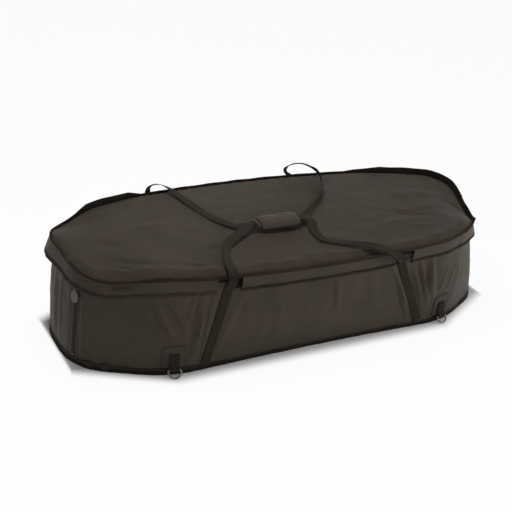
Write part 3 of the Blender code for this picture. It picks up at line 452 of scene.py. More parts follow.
# %% [markdown]
# ## Cloth, tape and webbing
# The lid, walls, skirts and base are woven cloth in slightly different shades, the seams are
# bound with ribbed tape, and the straps are heavy webbing with a herringbone face. One function
# for each of these three makes them all, because only colour, rib and shine change.

# %% Finishes: cloth, tape and webbing
def cloth_finish(name, colour, roughness=0.50, weave=0.0008, cloud=0.09, sheen=0.02, specular=0.12):
    material, tree, shader = new_material(name, roughness, sheen=sheen, specular=specular)
    flat = coordinates(tree)
    solid = coordinates(tree, "Object")
    threads = sum_of(tree, bands(tree, flat, weave), bands(tree, flat, weave, "Y"))
    crinkle = noise(tree, solid, 0.006, 4.0)
    creases = noise(tree, solid, 0.035, 3.0)
    height = sum_of(tree, threads, sum_of(tree, crinkle, creases, 0.7), 0.62)
    bump(tree, shader, height, 0.0007)
    clouds = noise(tree, solid, cloud, 3.0)
    specks = noise(tree, flat, 0.0016, 2.0)
    mixed = sum_of(tree, clouds, specks, 0.35)
    join(tree, tone(tree, mixed, scaled(colour, 0.84), scaled(colour, 1.16)), shader.inputs["Base Color"])
    join(tree, spread(tree, creases, roughness - 0.10, roughness + 0.10), shader.inputs["Roughness"])
    return material


def tape_finish(name, colour, rib=0.0011, roughness=0.75):
    material, tree, shader = new_material(name, roughness, sheen=0.03, specular=0.04)
    flat = coordinates(tree)
    ribs = bands(tree, flat, rib)
    fuzz = noise(tree, flat, 0.0009, 3.0)
    bump(tree, shader, sum_of(tree, ribs, fuzz, 0.35), 0.0005)
    wear_and_lit_front = noise(tree, coordinates(tree, "Object"), 0.02, 4.0)
    join(tree, tone(tree, sum_of(tree, wear_and_lit_front, ribs, 0.3), scaled(colour, 0.72), scaled(colour, 1.3)),
         shader.inputs["Base Color"])
    return material


def webbing_finish(name, colour):
    """Flat webbing: rows of slanting floats that meet in a herringbone."""
    material, tree, shader = new_material(name, 0.74, sheen=0.04, specular=0.05)
    flat = coordinates(tree)
    slants = []
    for turn in (0.6, -0.6):
        mapping = tree.nodes.new("ShaderNodeMapping")
        mapping.inputs["Rotation"].default_value = (0, 0, turn)
        join(tree, flat, mapping.inputs["Vector"])
        slants.append(bands(tree, mapping.outputs["Vector"], 0.0016))
    column = bands(tree, flat, 0.0042, "Y")
    chooser = tree.nodes.new("ShaderNodeMix")
    join(tree, column, chooser.inputs["Factor"])
    join(tree, slants[0], chooser.inputs["A"])
    join(tree, slants[1], chooser.inputs["B"])
    weave = chooser.outputs["Result"]
    fuzz = noise(tree, flat, 0.0012, 3.0)
    bump(tree, shader, sum_of(tree, weave, fuzz, 0.3), 0.0009)
    wear_and_lit_front = noise(tree, coordinates(tree, "Object"), 0.03, 4.0)
    join(tree, tone(tree, sum_of(tree, weave, wear_and_lit_front, 0.5), scaled(colour, 0.62), scaled(colour, 1.45)),
         shader.inputs["Base Color"])
    return material


LID_CLOTH = cloth_finish("lid_cloth", linear(57, 50, 43), specular=0.05)
WALL_CLOTH = cloth_finish("wall_cloth", linear(62, 54, 47))
SKIRT_CLOTH = cloth_finish("skirt_cloth", linear(61, 53, 46))
PATCH_CLOTH = cloth_finish("patch_cloth", linear(60, 53, 48), cloud=0.03)
BASE_CLOTH = cloth_finish("base_cloth", linear(36, 31, 27), roughness=0.60, weave=0.0010)
LINING_CLOTH = cloth_finish("lining_cloth", linear(74, 76, 72), roughness=0.45, cloud=0.12, sheen=0.0)
SEAM_TAPE = tape_finish("seam_tape", linear(22, 19, 16))
# A lighter copy of the seam tape, painted as lit, for the lid's left end and front.
PAINTED_LIT_SEAM_TAPE = tape_finish("painted_lit_seam_tape", linear(46, 38, 32))
HEM_TAPE = tape_finish("hem_tape", linear(42, 35, 30))
SOFT_TAPE = tape_finish("soft_hem_tape", linear(56, 48, 42))
BASE_TAPE = tape_finish("base_tape", linear(28, 25, 22))
STRAP_WEB = webbing_finish("strap_webbing", linear(42, 36, 30))
THREAD = tape_finish("thread", linear(48, 43, 38), rib=0.0004)
DARK_THREAD = tape_finish("dark_thread", linear(20, 18, 16), rib=0.0004)
HOOK_PILE = tape_finish("hook_pile", linear(20, 19, 18), rib=0.0008, roughness=0.95)
print("cloth finishes", len(bpy.data.materials))

# %% [markdown]
# ## Metal, nylon and rubber
# The rings and the zip slider are dark metal with scuffs, the coil is nylon and the pull is
# soft moulded rubber. Metal gets a brighter, uneven shine. The two moulded ones share one
# function that gives a surface a fine grain and a little wear.

# %% Finishes: metal, nylon and rubber
def metal_finish(name, colour):
    material, tree, shader = new_material(name, 0.36, metallic=0.9)
    solid = coordinates(tree, "Object")
    scuffs = noise(tree, solid, 0.004, 5.0, stretch=(1.0, 1.0, 3.0))
    join(tree, tone(tree, scuffs, scaled(colour, 0.7), scaled(colour, 1.4)), shader.inputs["Base Color"])
    join(tree, spread(tree, scuffs, 0.26, 0.48), shader.inputs["Roughness"])
    bump(tree, shader, noise(tree, solid, 0.0012, 3.0), 0.00006)
    return material


def moulded_finish(name, colour, roughness):
    material, tree, shader = new_material(name, roughness)
    solid = coordinates(tree, "Object")
    grain = noise(tree, solid, 0.0007, 4.0)
    wear = noise(tree, solid, 0.006, 4.0)
    bump(tree, shader, grain, 0.00010)
    join(tree, tone(tree, wear, scaled(colour, 0.8), scaled(colour, 1.2)), shader.inputs["Base Color"])
    join(tree, spread(tree, wear, roughness - 0.08, roughness + 0.1), shader.inputs["Roughness"])
    return material


GUNMETAL = metal_finish("gunmetal", (0.10, 0.098, 0.090))
COIL_NYLON = moulded_finish("coil_nylon", linear(24, 22, 20), 0.45)
PULL_RUBBER = moulded_finish("pull_rubber", linear(92, 84, 74), 0.60)
print("materials", len(bpy.data.materials))

# %% [markdown]
# ## Slack cloth
# Coated cloth that is a little too big for its padding wrinkles by itself, and letting it
# settle shows that better than a formula. A coarse grid becomes real cloth for a moment: sewn
# fast where held is 1, up to three hundredths too large where slack is 1, and run for a few
# frames. Only how far each point moved outward is kept, so the pieces stay plain meshes.

# %% Slack cloth
SETTLE_FRAMES = 24
TOO_LARGE = 0.032


def as_cloth(thing, held, slack):
    for name, weights in (("held", held), ("slack", slack)):
        group = thing.vertex_groups.new(name=name)
        for index, weight in enumerate(weights.ravel().tolist()):
            group.add([index], min(1.0, max(0.0, weight)), "REPLACE")
    cloth = thing.modifiers.new("settle", "CLOTH")
    cloth.settings.vertex_group_mass = "held"
    cloth.settings.vertex_group_shrink = "slack"
    cloth.settings.shrink_min, cloth.settings.shrink_max = 0.0, -TOO_LARGE
    cloth.settings.quality, cloth.settings.mass = 6, 0.15
    cloth.settings.bending_stiffness, cloth.settings.air_damping = 2.0, 1.0
    cloth.settings.use_pressure, cloth.settings.uniform_pressure_force = True, 0.20
    cloth.settings.effector_weights.gravity = 0
    cloth.collision_settings.use_collision = False
    cloth.point_cache.frame_start, cloth.point_cache.frame_end = 1, SETTLE_FRAMES


def settled(points, held, slack, seed, most, closed=False):
    """How far outward a grid of points moves when it settles as slack cloth, up to most metres."""
    rows, columns = points.shape[:2]
    normal = normals_of(points, closed)
    dice = np.random.default_rng(seed)
    nudge = dice.normal(0, 0.0003, (rows, columns, 1)) * (1 - held[..., None])
    mesh = bpy.data.meshes.new("settling")
    nudged = (points + normal * nudge).reshape(-1, 3)
    mesh.from_pydata(nudged.tolist(), [], grid_faces(rows, columns, closed).tolist())
    mesh.update()
    thing = bpy.data.objects.new("settling", mesh)
    bpy.context.scene.collection.objects.link(thing)
    as_cloth(thing, held, slack)
    for frame_number in range(1, SETTLE_FRAMES + 1):
        bpy.context.scene.frame_set(frame_number)
    result = thing.evaluated_get(bpy.context.evaluated_depsgraph_get()).data
    places = np.empty(rows * columns * 3, np.float32)
    result.vertices.foreach_get("co", places)
    moved = ((places.reshape(rows, columns, 3) - points) * normal).sum(-1)
    bpy.data.objects.remove(thing)
    bpy.data.meshes.remove(mesh)
    bpy.context.scene.frame_set(1)
    print("settled", rows, "x", columns, "mean move mm", round(float(np.abs(moved).mean() * 1000), 2))
    return most * np.tanh(moved / most)


def finer(table, rows, columns):
    """A table of values read at more rows and columns."""
    down = np.linspace(0, table.shape[0] - 1, rows)
    part = np.stack([np.interp(down, np.arange(table.shape[0]), column) for column in table.T], 1)
    side = np.linspace(0, table.shape[1] - 1, columns)
    fine = np.stack([np.interp(side, np.arange(table.shape[1]), row) for row in part])
    padded = np.pad(fine, 2, mode="edge")
    padded = (padded[:-2] + 2 * padded[1:-1] + padded[2:]) / 4
    padded = (padded[:, :-2] + 2 * padded[:, 1:-1] + padded[:, 2:]) / 4
    return padded[1:-1, 1:-1]


print("settle frames", SETTLE_FRAMES)

# %% [markdown]
# ## Wall relief
# The walls are foam boards in a cloth cover. The cloth puffs out a little between the seams,
# and it folds where something pulls on it: beside each sewn strap, up from the ring patch and
# down the rounded ends. Each fold is written as a line on the wall with a width and a depth,
# which is how a sewer would point at it. Straps and patches then ask the same function where
# the cloth is, so they lie on it, and the cloth is kept flat where the zip runs.

# %% Wall relief
WALL_LENGTH = length_of(np.vstack([FLOOR_PLAN, FLOOR_PLAN[:1]]))
STRIDE = WALL_LENGTH / ROUND
CORNER_PLACES = (3.2, 10.5, 29.5, 36.8, 43.2, 50.5, 69.5, 76.8)
STRAP_LINES = {
    "front_left": (True, -0.322, -0.289),
    "front_right": (True, 0.322, 0.215),
    "back_left": (False, -0.322, -0.289),
    "back_right": (False, 0.322, 0.215),
}
RING_X = 0.402
ZIP_FROM_MIDDLE = 0.084
foot_stride = float(np.linalg.norm(form(LEFT_END + 0.5, 0.022) - form(LEFT_END - 0.5, 0.022)))
ZIP_PLACE = LEFT_END + ZIP_FROM_MIDDLE / foot_stride


def stroke(place, height, start, end, width, depth, lopsided=0.0):
    """A fold along a line on the wall. start and end are (place, height); depth is metres outward."""
    x, y = place * STRIDE, height
    ax, ay, bx, by = start[0] * STRIDE, start[1], end[0] * STRIDE, end[1]
    length = math.hypot(bx - ax, by - ay)
    along = ((x - ax) * (bx - ax) + (y - ay) * (by - ay)) / length ** 2
    off = ((x - ax) * (by - ay) - (y - ay) * (bx - ax)) / length
    taper = np.clip(np.sin(np.clip(along, 0, 1) * math.pi), 0, 1) ** 0.6
    inside = (along > 0) & (along < 1)
    shape = np.exp(-(off / width) ** 2) - lopsided * np.exp(-((off - 1.6 * width) / width) ** 2)
    return np.where(inside, depth * taper * shape, 0.0)


WALL_FOLDS = []
for name, (front, foot_x, top_x) in STRAP_LINES.items():
    foot = place_at_x(foot_x, front, 0.02)
    top = place_at_x(top_x, front, 0.21)
    side = 1 if (foot_x < 0) == front else -1
    for offset, width, depth in ((-1.5, 0.007, 0.0035), (-2.6, 0.010, 0.0025), (1.4, 0.008, 0.0025)):
        low_end, high_end = (foot + side * offset * 0.55, 0.045), (top + side * offset, 0.235)
        WALL_FOLDS.append((low_end, high_end, width, depth, 0.7))
WALL_FOLDS += [
    ((47.3, 0.214), (48.95, 0.090), 0.0060, 0.0050, 0.8),
    ((46.7, 0.214), (48.60, 0.085), 0.0100, 0.0030, 0.5),
    ((48.2, 0.214), (49.70, 0.120), 0.0060, 0.0032, 0.8),
    ((51.0, 0.220), (50.10, 0.030), 0.0045, 0.0036, 0.9),
    ((50.2, 0.218), (49.90, 0.150), 0.0070, 0.0030, 0.7),
    ((50.7, 0.218), (50.30, 0.130), 0.0060, 0.0026, 0.7),
    ((42.9, 0.222), (42.95, 0.030), 0.0080, 0.0036, 0.5),
    ((40.3, 0.215), (40.60, 0.020), 0.0100, 0.0036, 0.4),
    ((39.2, 0.215), (39.50, 0.030), 0.0100, 0.0030, 0.4),
    ((60.3, 0.217), (60.95, 0.110), 0.0070, 0.0030, 0.8),
    ((55.7, 0.217), (56.80, 0.040), 0.0180, 0.0026, 0.4),
    ((63.4, 0.217), (64.10, 0.080), 0.0160, 0.0022, 0.4),
    ((65.3, 0.205), (67.80, 0.022), 0.0045, 0.0040, 0.9),
    ((66.7, 0.218), (68.90, 0.060), 0.0065, 0.0052, 0.9),
    ((67.4, 0.218), (69.30, 0.075), 0.0055, 0.0046, 0.9),
    ((68.6, 0.215), (69.50, 0.090), 0.0080, 0.0046, 0.8),
    ((70.9, 0.180), (70.20, 0.075), 0.0040, 0.0020, 0.8),
    ((72.3, 0.190), (71.10, 0.080), 0.0035, 0.0016, 0.8),
]
ring_places = {name: place_at_x(x, front, 0.026) for name, x, front in (
    ("front_left", -RING_X, True), ("front_right", RING_X, True),
    ("back_left", -RING_X, False), ("back_right", RING_X, False))}


SETTLED_STEP = 0.32
SETTLED_PLACES, SETTLED_HEIGHTS = np.arange(0, ROUND, SETTLED_STEP), np.linspace(0.012, 0.252, 20)
wall_form = form(SETTLED_PLACES[:, None], SETTLED_HEIGHTS[None, :], 0.003)
wall_held = np.full(wall_form.shape[:2], 0.05)
wall_held[:, [0, -1]] = 1.0
for middle in [*ring_places.values(), ZIP_PLACE]:
    wall_held[np.abs(SETTLED_PLACES - middle) < 0.9] = 0.6
    wall_held[np.abs(SETTLED_PLACES - middle) < 0.5] = 1.0
wall_slack = 0.30 + 0.0 * wall_form[..., 0]
for corner in CORNER_PLACES:
    wall_slack += 0.70 * np.exp(-((SETTLED_PLACES - corner) / 2.2) ** 2)[:, None]
wall_moves = settled(wall_form, wall_held, np.minimum(wall_slack, 1.0), 7, 0.0050, closed=True)


def settled_at(place, height):
    """The slack cloth's move at places and heights of the wall."""
    spot = (place / SETTLED_STEP) % len(SETTLED_PLACES)
    row = np.floor(spot).astype(int) % len(SETTLED_PLACES)
    step = SETTLED_HEIGHTS[1] - SETTLED_HEIGHTS[0]
    level = np.clip((height - SETTLED_HEIGHTS[0]) / step, 0, len(SETTLED_HEIGHTS) - 1.001)
    column = np.floor(level).astype(int)
    u, v = spot - np.floor(spot), level - column
    u, v = u * u * (3 - 2 * u), v * v * (3 - 2 * v)
    after = (row + 1) % len(SETTLED_PLACES)
    low = wall_moves[row, column] * (1 - u) + wall_moves[after, column] * u
    high = wall_moves[row, column + 1] * (1 - u) + wall_moves[after, column + 1] * u
    return low * (1 - v) + high * v


def relief(place, height):
    """How far the wall's cloth stands out from its plain form."""
    place, height = np.broadcast_arrays(np.asarray(place, float), np.asarray(height, float))
    level = np.clip((height - STRIP_TOP) / (WALL_TOP - STRIP_TOP), 0, 1)
    puff = 0.0042 * np.sin(np.pi * level) ** 0.7
    total = puff + 0.0010 * wave(0.16, 3, place * STRIDE, height * 0.7) * np.sin(np.pi * level)
    total = total + 0.0006 * wave(0.05, 5, place * STRIDE * 1.5, height * 0.5) * np.sin(np.pi * level)
    total = total + settled_at(place, height)
    for start, end, width, depth, lopsided in WALL_FOLDS:
        total = total + stroke(place, height, start, end, width, depth, lopsided)
    flat = np.zeros_like(total)
    for middle in ring_places.values():
        near = np.exp(-((place - middle) * STRIDE / 0.040) ** 4) * np.exp(-((height - 0.05) / 0.045) ** 4)
        flat = np.maximum(flat, near)
    zip_near = np.exp(-((place - ZIP_PLACE) * STRIDE / 0.018) ** 4)
    flat = np.maximum(flat, zip_near)
    strap_near = np.zeros_like(total)
    for front, foot_x, top_x in STRAP_LINES.values():
        foot, top = place_at_x(foot_x, front, 0.02), place_at_x(top_x, front, 0.21)
        line = foot + (top - foot) * np.clip((height - 0.02) / 0.19, 0, 1.2)
        strap_near = np.maximum(strap_near, np.exp(-((place - line) * STRIDE / 0.017) ** 4))
    total = total * (1 - 0.85 * strap_near)
    return total * (1 - flat) - 0.0009 * flat


def on_wall(place, height, out=0.0):
    """A point on the wall's cloth, or out metres off it."""
    return form(place, height, relief(place, height) - lean(height) + out)


print("wall folds", len(WALL_FOLDS))

# %% [markdown]
# ## Padded walls
# The wall is one padded band with the cloth outside, the boards inside and the lining on the
# fish's side. It is made as a closed ring, so that it still looks right from above when the
# lid is open. The points run up the outer face, over the top and down the inner face.

# %% Padded walls
BOARD = 0.022
around = np.arange(0, ROUND, 0.125)
rise = np.concatenate([np.linspace(0.004, STRIP_TOP, 4), np.linspace(0.020, WALL_TOP - 0.001, 52)])
outer_face = on_wall(around[:, None], rise[None, :])
thickness = 0.0014 + BOARD
over = np.array([0.15, 0.5, 0.85])
crest = form(around[:, None], np.array([[WALL_TOP] * 3]) - 0.0006 * np.abs(over - 0.5)[None, :],
             -lean(WALL_TOP) - 0.001 - (thickness - 0.002) * over[None, :])
fall = np.linspace(WALL_TOP - 0.002, 0.004, 8)
inner_face = form(around[:, None], fall[None, :], -lean(fall)[None, :] - thickness)
wall_rings = np.concatenate([outer_face, crest, inner_face], 1)
wall_band = tube_of("padded_walls", wall_rings, WALL_CLOTH, closed=True, sharp=70)
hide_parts("outer_skin", *[name for name in frame["nodes"] if name.startswith("wall_foam_")])
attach(wall_band, "tub")
print("wall faces", len(wall_band.data.polygons))

# %% [markdown]
# ## Base pan
# The base is a dark coated sheet turned up round the foot of the walls, with a taped edge.
# Its turned-up edge is not stiff: at the left corner it ripples away from the wall.
# The sheet under the mat is a flat skin over shrinking outlines, and a tape covers the edge.

# %% Base pan
strip_rise = np.array([0.0008, 0.003, 0.007, 0.011, 0.015, 1.0])
ripple_at = 1.3 * np.exp(-((around - 44.2) / 1.1) ** 2)
ripple = ripple_at * (0.5 + 0.5 * np.sin(around * 5.1))
front_strip = np.clip(np.minimum(around - 51.0, 76.0 - around) / 2.5, 0, 1)
strip_wave = 0.0012 * wave(0.09, 11, around * STRIDE, 0 * around)
strip_top = STRIP_TOP - 0.0055 * front_strip + strip_wave + 0.007 * ripple
heights = np.minimum(strip_rise[None, :], 1.0) * np.ones((len(around), 1))
heights[:, -1] = strip_top
bulge = np.array([-0.0015, 0.0006, 0.0012, 0.0010, 0.0008, 0.0016])[None, :] + 0.004 * ripple[:, None] * (
    np.arange(6) / 5)[None, :]
strip_points = form(around[:, None], heights, bulge)
base_strip = sheet_of("base_turn_up", strip_points, 0.0010, BASE_CLOTH, closed=True)
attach(base_strip, "tub")
BASE_EDGE_RISE = 0.0008


def plan_rows(edge_out, height, shares, rise_at, step=4):
    """The plan outline again and again, shrunk towards a line along the middle of the mat."""
    rows = []
    for share in shares:
        edge = form(around[::step], height, edge_out)
        spine = edge * [SIDE_HALF / HALF_LENGTH, 0, 1]
        row = spine + (edge - spine) * share
        row[:, 2] = height + rise_at(share, row[:, 0], row[:, 1])
        rows.append(row)
    return rows


def base_drop(share, x, y):
    """Takes every row but the outermost down to the ground."""
    return 0 * x - BASE_EDGE_RISE * (share < 0.98)


under = plan_rows(-0.0015, BASE_EDGE_RISE, (1.0, 0.97, 0.8, 0.55, 0.3, 0.1), base_drop, step=1)
upper = [row + [0, 0, 0.0013] for row in reversed(under)]
base_sheet = tube_of("base_underside", np.array(under + upper), BASE_CLOTH)
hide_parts("base_sheet")
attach(base_sheet, "tub")

tape_heights = np.array([0.0006, 0.0040, 0.0080, 0.0100])
tape_points = form(around[:, None], tape_heights[None, :],
                   0.0022 + 0.0006 * wave(0.03, 8, around * STRIDE, 0 * around)[:, None])
base_tape = sheet_of("base_edge_tape", tape_points, 0.0012, BASE_TAPE, closed=True)
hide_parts("base_binding")
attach(base_tape, "tub")
print("base strip top", round(float(strip_top.max()), 4))

# %% [markdown]
# ## Floor and lining
# Inside, a fish lies on a padded floor, and a smooth lining covers the boards. Neither shows
# in the photograph, so both are kept plain. The floor is made of rings that shrink towards
# the middle, the lining is a closed sheet, and a tape is folded over the top of the wall.

# %% Floor and lining
LINING_OUT = -thickness - 0.0006


def floor_rise(share, x, y):
    """Slight crown of the floor pad, with its edge pressed down."""
    crown = 0.004 * (1 - share ** 2.4) - 0.006 * (share > 0.985)
    return crown + 0.0010 * wave(0.12, 21, x, y) * (1 - share ** 6)


floor_edge = -WALL_LEAN * 0.05 - thickness - 0.0016
top_shares = np.concatenate([[1.0, 0.985], np.linspace(0.96, 0.06, 26)])
floor_top = plan_rows(floor_edge, 0.0226, top_shares, floor_rise)
floor_low = plan_rows(floor_edge, 0.0022, (0.06, 0.5, 1.0), lambda share, x, y: 0 * x)
floor_pad = tube_of("floor_pad", np.array(floor_low + floor_top), LINING_CLOTH, sharp=70)
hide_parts("floor_foam", "floor_lining")
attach(floor_pad, "tub")

lining_rise = np.linspace(0.0245, WALL_TOP - 0.001, 24)
lining_pull = 0.0007 * wave(0.07, 23, around[::2, None] * STRIDE, lining_rise[None, :])
lining_points = form(around[::2, None], lining_rise[None, :],
                     -lean(lining_rise)[None, :] + LINING_OUT - 0.0012 + lining_pull)
lining = sheet_of("wall_lining", lining_points[:, ::-1], 0.0008, LINING_CLOTH, closed=True)
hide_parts("inner_lining")
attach(lining, "tub")

rim_section = [(0.0006, -0.0125), (0.0018, -0.0123), (0.0020, -0.004), (0.0012, 0.0008), (-0.004, 0.0016),
               (-0.020, 0.0016), (-thickness - 0.003, 0.0010), (-thickness - 0.0042, -0.002),
               (-thickness - 0.0042, -0.0125), (-thickness - 0.0030, -0.0125), (-thickness - 0.0026, -0.001),
               (-0.012, 0.0004), (0.0004, -0.001)]
rim_rings = []
for out, drop in rim_section:
    rim_rings.append(form(around[::2], WALL_TOP + drop, -lean(WALL_TOP + drop) + out))
rim_tape = tube_of("rim_tape", np.stack(rim_rings, 1), SEAM_TAPE, closed=True)
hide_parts("rim_binding")
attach(rim_tape, "tub")
print("pieces so far", len(MADE))

# %% [markdown]
# ## Lid top
# The lid is thin padding between two cloths, sewn all round into an upright tape. The top
# cloth rolls over at the edge and lies in a few long soft folds, mostly where the straps and
# the corners pull. The grid runs in straight columns across the mat, which keeps its cells
# even and lets the folds run in any direction.

# %% Lid top
LID_SEAM_LOW = 0.2590
LID_EDGE_TOP = 0.2673
LID_CROWN = 0.0060
LID_INSET = 0.0034
lid_outline = RIM_PLAN + RIM_NORMAL * -LID_INSET


left_end = int(np.argmin(lid_outline[:, 0]))
right_end = int(np.argmax(lid_outline[:, 0]))
turned = np.roll(lid_outline, -right_end, 0)
split = (left_end - right_end) % len(lid_outline)
back_part, front_part = turned[:split + 1], turned[split:]


def edges_at(x):
    """Front and back edge of the lid at x."""
    back_order, front_order = np.argsort(back_part[:, 0]), np.argsort(front_part[:, 0])
    back_edge = np.interp(x, back_part[back_order, 0], back_part[back_order, 1])
    return np.interp(x, front_part[front_order, 0], front_part[front_order, 1]), back_edge


def edge_distance(x, y):
    """Distance from points of the lid to its outline."""
    sparse = lid_outline[::8]
    flat = np.stack([x.ravel(), y.ravel()], -1)
    best = np.full(len(flat), 9.0)
    for start in range(0, len(sparse), 100):
        part = sparse[start:start + 100]
        away = np.linalg.norm(flat[:, None, :] - part[None, :, :], axis=-1).min(1)
        best = np.minimum(best, away)
    return best.reshape(x.shape)


LID_FOLDS = [
    ((-0.560, -0.105), (-0.330, -0.200), 0.010, 0.0030),
    ((-0.540, -0.080), (-0.300, -0.180), 0.016, 0.0022),
    ((-0.560, -0.060), (-0.450, -0.150), 0.008, -0.0022),
    ((-0.250, -0.205), (-0.110, -0.215), 0.007, 0.0018),
    ((0.130, -0.120), (0.420, -0.090), 0.012, 0.0024),
    ((0.200, -0.060), (0.520, -0.040), 0.014, 0.0018),
    ((0.300, 0.060), (0.560, 0.010), 0.018, 0.0022),
    ((-0.200, -0.185), (0.100, -0.200), 0.012, 0.0020),
    ((0.430, -0.170), (0.560, -0.070), 0.010, 0.0026),
    ((-0.480, 0.150), (-0.300, 0.190), 0.012, 0.0020),
    ((0.380, 0.190), (0.540, 0.120), 0.012, 0.0022),
    ((-0.569, -0.110), (-0.504, -0.157), 0.006, 0.0034),
    ((-0.501, -0.148), (-0.433, -0.172), 0.006, 0.0026),
    ((-0.369, -0.164), (-0.315, -0.175), 0.006, 0.0030),
    ((-0.534, 0.133), (-0.456, 0.147), 0.007, 0.0030),
    ((-0.611, -0.054), (-0.584, -0.165), 0.010, -0.0040),
    ((0.494, 0.066), (0.583, 0.116), 0.006, 0.0030),
    ((0.527, -0.001), (0.558, -0.065), 0.006, 0.0040),
    ((0.425, -0.193), (0.525, -0.115), 0.007, 0.0036),
    ((0.309, -0.203), (0.381, -0.184), 0.005, 0.0030),
    ((0.228, -0.028), (0.432, -0.119), 0.012, -0.0034),
    ((0.327, 0.207), (0.428, 0.167), 0.006, 0.0030),
    ((-0.089, -0.199), (0.077, -0.219), 0.007, 0.0026),
    ((0.278, -0.131), (0.375, -0.144), 0.008, 0.0028),
    ((-0.460, 0.032), (-0.336, 0.043), 0.014, 0.0022),
    ((-0.543, 0.012), (-0.471, -0.058), 0.012, -0.0022),
    ((-0.311, -0.103), (-0.252, -0.104), 0.010, -0.0026),
    ((-0.245, -0.182), (-0.194, -0.197), 0.008, 0.0026),
]


PULLS = [(-0.50, -0.13), (-0.50, 0.12), (0.50, 0.10), (0.48, -0.10), (0.20, -0.16), (-0.28, -0.16),
         (-0.28, 0.17), (0.16, 0.17)]


def plan_stroke(x, y, start, end, width, depth):
    """A fold along a line on the lid, seen from above."""
    length = math.hypot(end[0] - start[0], end[1] - start[1])
    along = ((x - start[0]) * (end[0] - start[0]) + (y - start[1]) * (end[1] - start[1])) / length ** 2
    off = ((x - start[0]) * (end[1] - start[1]) - (y - start[1]) * (end[0] - start[0])) / length
    taper = np.clip(1 - np.abs(along - 0.5) * 2, 0, 1) ** 0.8
    return depth * taper * np.exp(-(off / width) ** 2)


def lid_height(x, y):
    """Height of the lid's top cloth: rolled edge, crown, puffed front and folds."""
    away = edge_distance(x, y)
    roll_over = np.clip(away / 0.020, 0, 1)
    edge = LID_SEAM_LOW + (LID_EDGE_TOP - LID_SEAM_LOW) * np.sqrt(1 - (1 - roll_over) ** 2)
    crown = LID_CROWN * (1 - np.exp(-away / 0.075))
    beyond_crease = np.clip(x - (0.557 + (0.114 - y) * 0.115), 0, 0.035) * (y > -0.06)
    crown = crown - 0.17 * beyond_crease * np.clip((y + 0.06) / 0.03, 0, 1)
    near = np.clip((-y - 0.02) / 0.15, 0, 1)
    puff = 0.0042 * near * np.exp(-((away - 0.020) / 0.017) ** 2) * (1 + 0.45 * wave(0.09, 35, x, y))
    soft = 0.0012 * wave(0.22, 31, x, y) + 0.0005 * wave(0.07, 33, x, y * 1.3)
    folds = 1.5 * sum(plan_stroke(x, y, *fold) for fold in LID_FOLDS)
    calm = np.clip(away / 0.03, 0, 1)
    return edge + crown + puff * roll_over + (soft + folds) * calm


columns = np.sin(np.linspace(-1, 1, 301) * math.pi / 2 * 0.985)
columns = columns / columns.max()
low_x, high_x = lid_outline[:, 0].min() + 1e-5, lid_outline[:, 0].max() - 1e-5
columns = (low_x + high_x) / 2 + columns * (high_x - low_x) / 2
rows = np.sin(np.linspace(-1, 1, 111) * math.pi / 2 * 0.93)
rows = rows / rows.max()
lid_x = np.repeat(columns[:, None], len(rows), 1)
front_edge, back_edge = edges_at(lid_x)
lid_y = (front_edge + back_edge) / 2 + (back_edge - front_edge) / 2 * rows[None, :]
lid_z = lid_height(lid_x, lid_y)
coarse = np.stack([lid_x, lid_y, lid_z], -1)[::3, ::2]
lid_held = np.full(coarse.shape[:2], 0.10)
lid_held[[0, -1]] = 1.0
lid_held[:, [0, -1]] = 1.0
from_wrap = np.hypot((coarse[..., 0] + 0.0705) / 0.10, (coarse[..., 1] + 0.047) / 0.05)
lid_held = np.maximum(lid_held, 0.5 * np.exp(-from_wrap ** 2))
lid_slack = np.full(coarse.shape[:2], 0.25)
for x, y in PULLS:
    lid_slack += 0.75 * np.exp(-((coarse[..., 0] - x) ** 2 + (coarse[..., 1] - y) ** 2) / 0.10 ** 2)
lid_moves = settled(coarse, lid_held, np.minimum(lid_slack, 1.0), 9, 0.0055)
lid_z = lid_z + finer(lid_moves, *lid_z.shape) * np.clip(edge_distance(lid_x, lid_y) / 0.012, 0, 1)
top_points = np.stack([lid_x, lid_y, lid_z], -1)
lid_top = sheet_of("lid_top", top_points, 0.0040, LID_CLOTH)
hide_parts("lid_panel")
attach(lid_top, "lid")

under_z = np.full_like(lid_z, 0.2580) + 0.0012 * (1 - np.exp(-edge_distance(lid_x, lid_y) / 0.05))
under_points = np.stack([lid_x, lid_y, under_z], -1)[::3, ::3]
lid_lining = sheet_of("lid_underside", under_points[:, ::-1], 0.0008, LINING_CLOTH)
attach(lid_lining, "lid")
print("lid top", round(float(lid_z.max()), 4))

# %% [markdown]
# ## Seam tape round the lid
# Top cloth, underside and skirt meet in one seam, bound with a dark ribbed tape that stands
# up like a low fence. At the far corners the padding pulls it upright, and there it shows as
# a black rim, whose dark colour is partly painted shade. Near the front it leans out and shows
# only its face. From the left end along the front the tape takes a lighter copy of its colour,
# painted as lit.

# %% Seam tape round the lid
def bell(place, middle, width):
    """1 at a place of the outline, fading on both sides."""
    away = (place - middle + ROUND / 2) % ROUND - ROUND / 2
    return np.exp(-(away / width) ** 2)


def stretch_of(place, start, end, soft=0.5):
    """1 between two places of the outline, 0 outside them, with soft ends."""
    width = (end - start) % ROUND
    inside = (place - start) % ROUND
    inside = np.where(inside > (width + ROUND) / 2, inside - ROUND, inside)
    return np.clip(np.minimum(inside, width - inside) / soft + 0.5, 0, 1)


